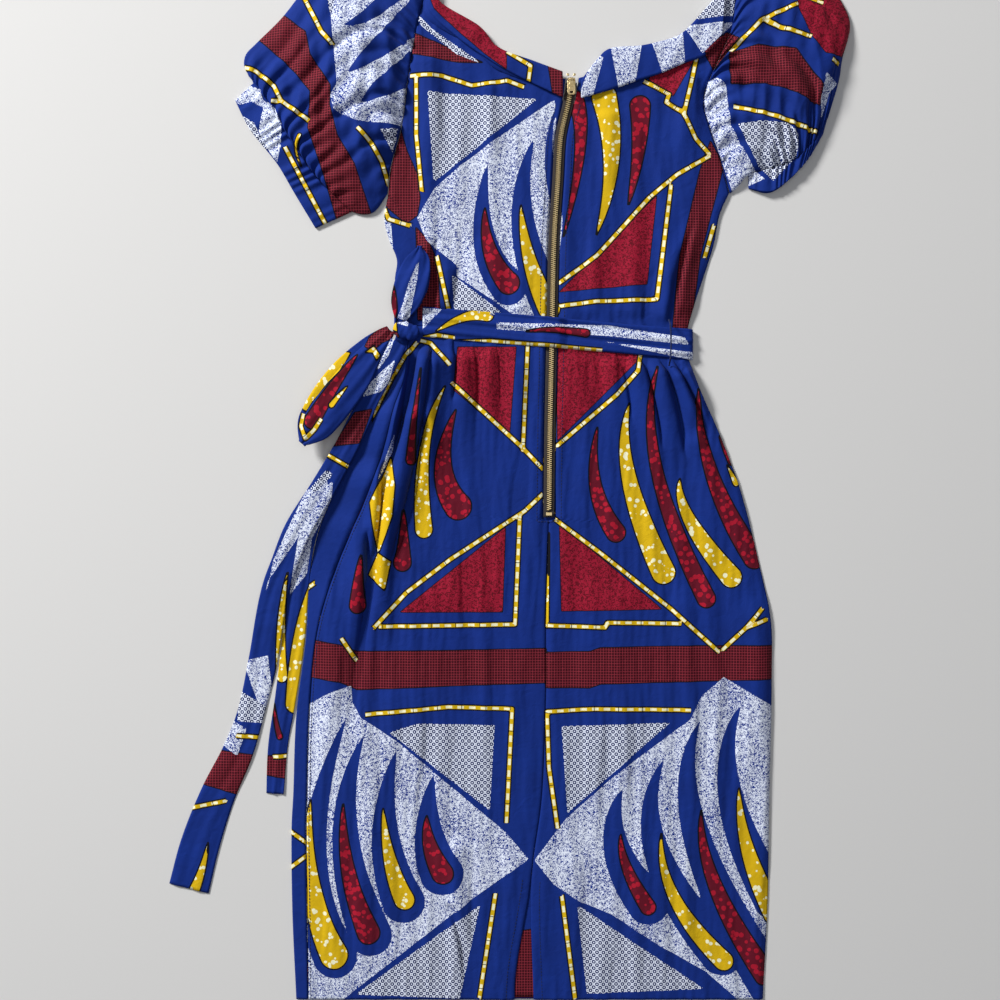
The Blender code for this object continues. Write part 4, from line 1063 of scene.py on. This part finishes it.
def zip_line(count, low=0.0, high=ZIP_TOP_Y - 14):
    """The middle of the zip from its foot up, as (x, y)."""
    line = along(CENTRE[-3:] + BODICE_CENTRE[1:], 60)
    y = np.linspace(low, high, count)
    return np.stack([np.interp(y, line[:, 1], line[:, 0]), y], axis=1)


def finished(name, mesh, material_name, body="dress"):
    """An object of a mesh that isn't cloth, on its body."""
    mesh.materials.append(MATERIALS[material_name])
    made = bpy.data.objects.new(name, mesh)
    bpy.context.scene.collection.objects.link(made)
    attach(made, body)
    return made


def blocks(name, places, size, material_name):
    """One mesh of small blocks with tapered tops, each at (x, y, z, turn)."""
    corner = np.array([(x, y, z) for z in (-1, 1) for y in (-1, 1) for x in (-1, 1)], float)
    corner[4:, :2] *= 0.7
    sides = np.array([(0, 2, 3, 1), (4, 5, 7, 6), (0, 1, 5, 4), (2, 6, 7, 3), (0, 4, 6, 2), (1, 3, 7, 5)])
    local = corner * np.array(size) / 2
    points = []
    for x, y, z, turn in places:
        turned = local.copy()
        turned[:, 0] = local[:, 0] * math.cos(turn) - local[:, 1] * math.sin(turn)
        turned[:, 1] = local[:, 0] * math.sin(turn) + local[:, 1] * math.cos(turn)
        points.append(turned + (x, y, z))
    faces = [sides + 8 * i for i in range(len(places))]
    mesh = bpy.data.meshes.new(name)
    mesh.from_pydata((np.concatenate(points) * MM).tolist(), [], np.concatenate(faces).tolist())
    return finished(name, mesh, material_name)


def on_tape(x, y):
    """Upper side of the zip's tapes."""
    return float(front_under(x, y)) + LAYER + SLACK + WALL


def zip_teeth():
    """The closed chain: teeth on both tapes, each between two of the other side's."""
    count = int((ZIP_TOP_Y - 16 - 4) / (TOOTH_PITCH / 2))
    line = zip_line(count, 4.5, ZIP_TOP_Y - 16.5)
    places = []
    for step, (x, y) in enumerate(line):
        way = 1 if step % 2 else -1
        places.append((x + way * 1.0, y, on_tape(x, y) + GAP + TOOTH[2] / 2, 0))
    return blocks("zip_teeth", places, TOOTH, "brass"), "zip_chain"


def zip_tapes():
    """The woven tapes, each with a cord along the edge that holds the teeth."""
    line = zip_line(200, -3.5, ZIP_TOP_Y - 4)
    for side, way in (("left", -1), ("right", 1)):
        across = np.linspace(TAPE_HALF, GAP / 2, 7)[::1 if way < 0 else -1]
        grid = np.stack([line + (way * off, 0) for off in across], axis=1)
        height = np.array([[on_tape(x, y) for x, y in row] for row in grid])
        height = height + 0.25 * np.exp(-((across - CHAIN_HALF) / 0.8) ** 2)[None]
        made = cloth(f"tape_{side}", with_height(grid, height), PLAIN, finish="zip_tape")
        yield made, f"zip_tape_{side}"


def plate(bm, outlines, low, high):
    """A flat shape with holes, the first outline round it and the others its holes, between two heights."""
    edges = []
    for outline in outlines:
        ring = [bm.verts.new((x * MM, y * MM, low * MM)) for x, y in outline]
        edges += [bm.edges.new((a, b)) for a, b in zip(ring, ring[1:] + ring[:1])]
    faces = [f for f in bmesh.ops.triangle_fill(bm, use_beauty=True, edges=edges)["geom"]
             if isinstance(f, bmesh.types.BMFace)]
    raised = bmesh.ops.extrude_face_region(bm, geom=faces)["geom"]
    bmesh.ops.translate(bm, vec=(0, 0, (high - low) * MM),
                        verts=[v for v in raised if isinstance(v, bmesh.types.BMVert)])


def both_sides(half):
    """A closed outline from its right half, which goes from the top down."""
    return half + [(-x, y) for x, y in reversed(half) if x > 0]


def rod(bm, centre, radius, length):
    """A pin along X."""
    made = bmesh.ops.create_cone(bm, cap_ends=True, segments=24, radius1=radius * MM, radius2=radius * MM,
                                 depth=length * MM)
    bmesh.ops.rotate(bm, verts=made["verts"], matrix=Matrix.Rotation(math.pi / 2, 3, "Y"))
    bmesh.ops.translate(bm, verts=made["verts"], vec=Vector(centre) * MM)


def metal(name, bm, place, body="dress"):
    """A brass piece with soft edges at that place."""
    bmesh.ops.recalc_face_normals(bm, faces=bm.faces)
    mesh = bpy.data.meshes.new(name)
    bm.to_mesh(mesh)
    bm.free()
    mesh.transform(Matrix.Translation(Vector(place) * MM))
    made = finished(name, mesh, "brass", body)
    bevel = made.modifiers.new("edges", "BEVEL")
    bevel.width = 0.22 * MM
    bevel.segments = 2
    bevel.limit_method = "ANGLE"
    return made


def slider_and_tab():
    """The slider with its two plates, bridge, lugs and pin, the tab on it, and the stops."""
    x, y = zip_line(2, 0, ZIP_TOP_Y - 7)[1]
    base = on_tape(x, y) + GAP
    bm = bmesh.new()
    shield = both_sides([(0, 5.5), (2.4, 5.5), (3.9, 4.6), (4.3, 2.6), (4.2, -0.5), (3.6, -4.6),
                         (3.0, -5.5), (0, -5.5)])
    plate(bm, [shield], 0, 1.2)
    plate(bm, [[(px * 0.62, py * 0.9) for px, py in shield]], 1.2, 2.3)
    plate(bm, [shield], 2.3, 3.4)
    for way in (-1, 1):
        lug = [(way * 3.3 + a, b) for a, b in ((-0.6, 3.8), (0.6, 3.8), (0.6, 6.2), (-0.6, 6.2))]
        plate(bm, [lug], 3.3, 6.4)
    rod(bm, (0, 5, 5.6), 0.6, 6.6)
    yield metal("slider", bm, (x, y, base)), "zip_slider"
    bm = bmesh.new()
    tab = both_sides([(0, 0.9), (2.1, 0.9), (2.0, -3.6), (2.5, -5.0), (3.9, -6.6), (4.1, -8.4), (4.1, -13.8),
                      (3.4, -15.5), (2.2, -16.0), (0, -16.0)])
    hole = both_sides([(0, -12.4), (1.4, -12.4), (1.6, -12.7), (1.6, -14.3), (1.4, -14.6), (0, -14.6)])
    plate(bm, [tab, hole], -0.6, 0.6)
    plate(bm, [both_sides([(0, -7.6), (2.3, -8.2), (2.5, -10.4), (0, -11.2)])], 0.5, 0.95)
    rod(bm, (0, 0, 0), 1.7, 4.2)
    yield metal("pull_tab", bm, (x, y + 5, base + 5.6), "pull_tab"), "zip_pull_tab"
    foot_x, foot_y = zip_line(2)[0]
    bm = bmesh.new()
    plate(bm, [both_sides([(0, 1.7), (3.0, 1.7), (3.2, 0), (3.0, -1.7), (0, -1.7)])], 0, 1.9)
    yield metal("bottom_stop", bm, (foot_x, foot_y, on_tape(foot_x, foot_y) + GAP)), "zip_bottom_stop"
    for side, way in (("left", -1), ("right", 1)):
        bm = bmesh.new()
        plate(bm, [both_sides([(0, 1.2), (1.1, 1.0), (1.3, -0.9), (0, -1.1)])], 0, 1.7)
        yield metal(f"top_stop_{side}", bm, (x + way * 3.4, y + 11, base)), f"zip_top_stop_{side}"


def stitched(line, gap=3.4):
    """Places of stitches along a line of (x, y, z)."""
    line = np.array(line, float)
    walked = np.concatenate([[0], np.cumsum(np.linalg.norm(np.diff(line, axis=0), axis=1))])
    at = np.arange(gap / 2, walked[-1], gap)
    x, y, z = (np.interp(at, walked, line[:, i]) for i in range(3))
    turn = np.arctan2(np.gradient(y), np.gradient(x)) - math.pi / 2
    return list(zip(x, y, z, turn))


def topstitching():
    """The stitches that hold the cloth beside the zip, at the vent and along the side seam."""
    line = zip_line(160, -8, ZIP_TOP_Y - 26)
    places = []
    for off in (-12.5, 12.5):
        x, y = line[:, 0] + off, line[:, 1]
        places += stitched(np.stack([x, y, back_top(x, y)], axis=1))
    x = np.linspace(-12.5, 12.5, 12)
    y = np.full(12, -8.0)
    places += stitched(np.stack([x, y, back_top(x, y)], axis=1))
    seam = along(CENTRE, np.linspace(0, 0.18, 60))
    for off in (-9, 9):
        opened = VENT_SPREAD * smooth_step((VENT_TOP_Y - seam[:, 1]) / (VENT_TOP_Y - HEM_Y)) * (off < 0)
        x, y = seam[:, 0] + off - opened, seam[:, 1]
        places += stitched(np.stack([x, y, back_top(x, y)], axis=1))
    seam = along(SEAM_LEFT, np.linspace(0, 0.75, 200)) + (3.2, 0)
    places += stitched(np.concatenate([seam, back_top(seam[:, 0], seam[:, 1])[:, None]], axis=1))
    return blocks("topstitching", places, (0.8, 2.5, 0.7), "thread")


def carrier():
    """The thread loop at the right side that the band runs through, as a worked cord."""
    x, middle = CARRIER
    line = along([(x, middle - CARRIER_REACH), (x + 1, middle), (x, middle + CARRIER_REACH)], 60)
    top = max(belt_under(px, py) for px, py in line[::12]) + WALL + 1.2
    ends = [clear_top(*line[i], 3) for i in (0, -1)]
    share = np.linspace(0, 1, 60)
    arch = smooth_step(share / 0.15) * smooth_step((1 - share) / 0.15)
    height = (1 - share) * ends[0] + share * ends[1]
    height = height + arch * (top - height)
    rows = []
    for (px, py), z, step in zip(line, height, range(60)):
        radius = 0.85 + 0.15 * math.sin(step * 1.9)
        rows.append([(px + radius * math.cos(a), py, z + radius * math.sin(a))
                     for a in np.linspace(0, 2 * math.pi, 13)[:-1]])
    return cloth("carrier", np.array(rows), PLAIN, loop=True, finish="thread"), "belt_carrier"


def floor_and_light():
    """A pale floor, a soft key light, a weak one overhead, and a dim sky."""
    mesh = bpy.data.meshes.new("floor")
    size = 3.0
    mesh.from_pydata([(-size, -size, 0), (size, -size, 0), (size, size, 0), (-size, size, 0)], [],
                     [(0, 1, 2, 3)])
    mesh.materials.append(plain("pale_floor", (0.66, 0.65, 0.63), 0.9))
    ground = bpy.data.objects.new("floor", mesh)
    bpy.context.scene.collection.objects.link(ground)
    for name, place, size, power in (("key", (-3.0, 2.7, 2.3), 1.2, 290),
                                     ("overhead", (0, 0, 2.5), 2.4, 13)):
        light = bpy.data.lights.new(name, "AREA")
        light.shape = "DISK"
        light.size = size
        light.energy = power
        lamp = bpy.data.objects.new(name, light)
        lamp.location = place
        lamp.rotation_euler = Vector(place).to_track_quat("Z", "Y").to_euler()
        bpy.context.scene.collection.objects.link(lamp)
    world = bpy.data.worlds.new("studio")
    world.use_nodes = True
    world.node_tree.nodes["Background"].inputs["Color"].default_value = (0.80, 0.86, 1.0, 1)
    world.node_tree.nodes["Background"].inputs["Strength"].default_value = 0.16
    bpy.context.scene.world = world
    bpy.context.scene.view_settings.view_transform = "Standard"


def camera():
    """Straight above the dress, its view 1.03 m wide at the cloth."""
    lens = bpy.data.cameras.new("camera")
    lens.lens = 50
    lens.sensor_width = 36
    made = bpy.data.objects.new("camera", lens)
    made.location = (-50.5 * MM, 14.4 * MM, 1.4366)
    bpy.context.scene.collection.objects.link(made)
    bpy.context.scene.camera = made


def brass():
    """Worn brass: brighter where it is rubbed, with a fine grain."""
    made = Shader("brass")
    place = made.tree.nodes.new("ShaderNodeTexCoord").outputs["Object"]
    rubbed = made.noise(place, 260, 3)
    made.put(made.surface.inputs["Base Color"], made.mix(rubbed, (0.62, 0.44, 0.18), (0.86, 0.70, 0.40)))
    made.surface.inputs["Metallic"].default_value = 1.0
    made.put(made.surface.inputs["Roughness"], made.math("ADD", made.math("MULTIPLY", rubbed, 0.3), 0.2))
    made.bump(made.noise(place, 1500, 2), 0.2, 0.0001)
    return made.material


def woven(name, dark, light, step):
    """Thread or tape: two tones in fine diagonal ribs."""
    made = Shader(name)
    place = made.tree.nodes.new("ShaderNodeTexCoord").outputs["Object"]
    parts = made.tree.nodes.new("ShaderNodeSeparateXYZ")
    made.put(parts.inputs[0], place)
    slant = made.math("ADD", parts.outputs[0], parts.outputs[1])
    rib = made.math("ABSOLUTE", made.math("SINE", made.math("MULTIPLY", slant, math.pi / step)))
    made.put(made.surface.inputs["Base Color"], made.mix(rib, dark, light))
    made.surface.inputs["Roughness"].default_value = 0.85
    made.bump(rib, 0.4, 0.0002)
    return made.material


MATERIALS = {
    "wax_print": wax_print(),
    "brass": brass(),
    "zip_tape": woven("zip_tape", (0.010, 0.008, 0.008), (0.040, 0.030, 0.026), 0.0011),
    "thread": woven("thread", (0.002, 0.005, 0.028), (0.006, 0.016, 0.090), 0.0008),
}

pieces = [*skirt(), (vent_underlap(), "vent_underlap"), *bodice(),
          collar("left", COLLAR_FOLD_LEFT, COLLAR_FREE_LEFT, 22, 1),
          collar("right", COLLAR_FOLD_RIGHT, COLLAR_FREE_RIGHT, 15, 2),
          *sleeve("left", ARMHOLE_LEFT, GATHER_LEFT, HEM_CUFF_LEFT, PUFF_LEFT_TOP, PUFF_LEFT_UNDER,
                  SLEEVE_LEFT, 11),
          *sleeve("right", ARMHOLE_RIGHT, GATHER_RIGHT, HEM_CUFF_RIGHT, PUFF_RIGHT_TOP, PUFF_RIGHT_UNDER,
                  SLEEVE_RIGHT, 23),
          *bow(), belt(), *zip_tapes(), zip_teeth(), *slider_and_tab(), carrier()]
for piece, node in pieces:
    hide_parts(node)
topstitching()

floor_and_light()
camera()
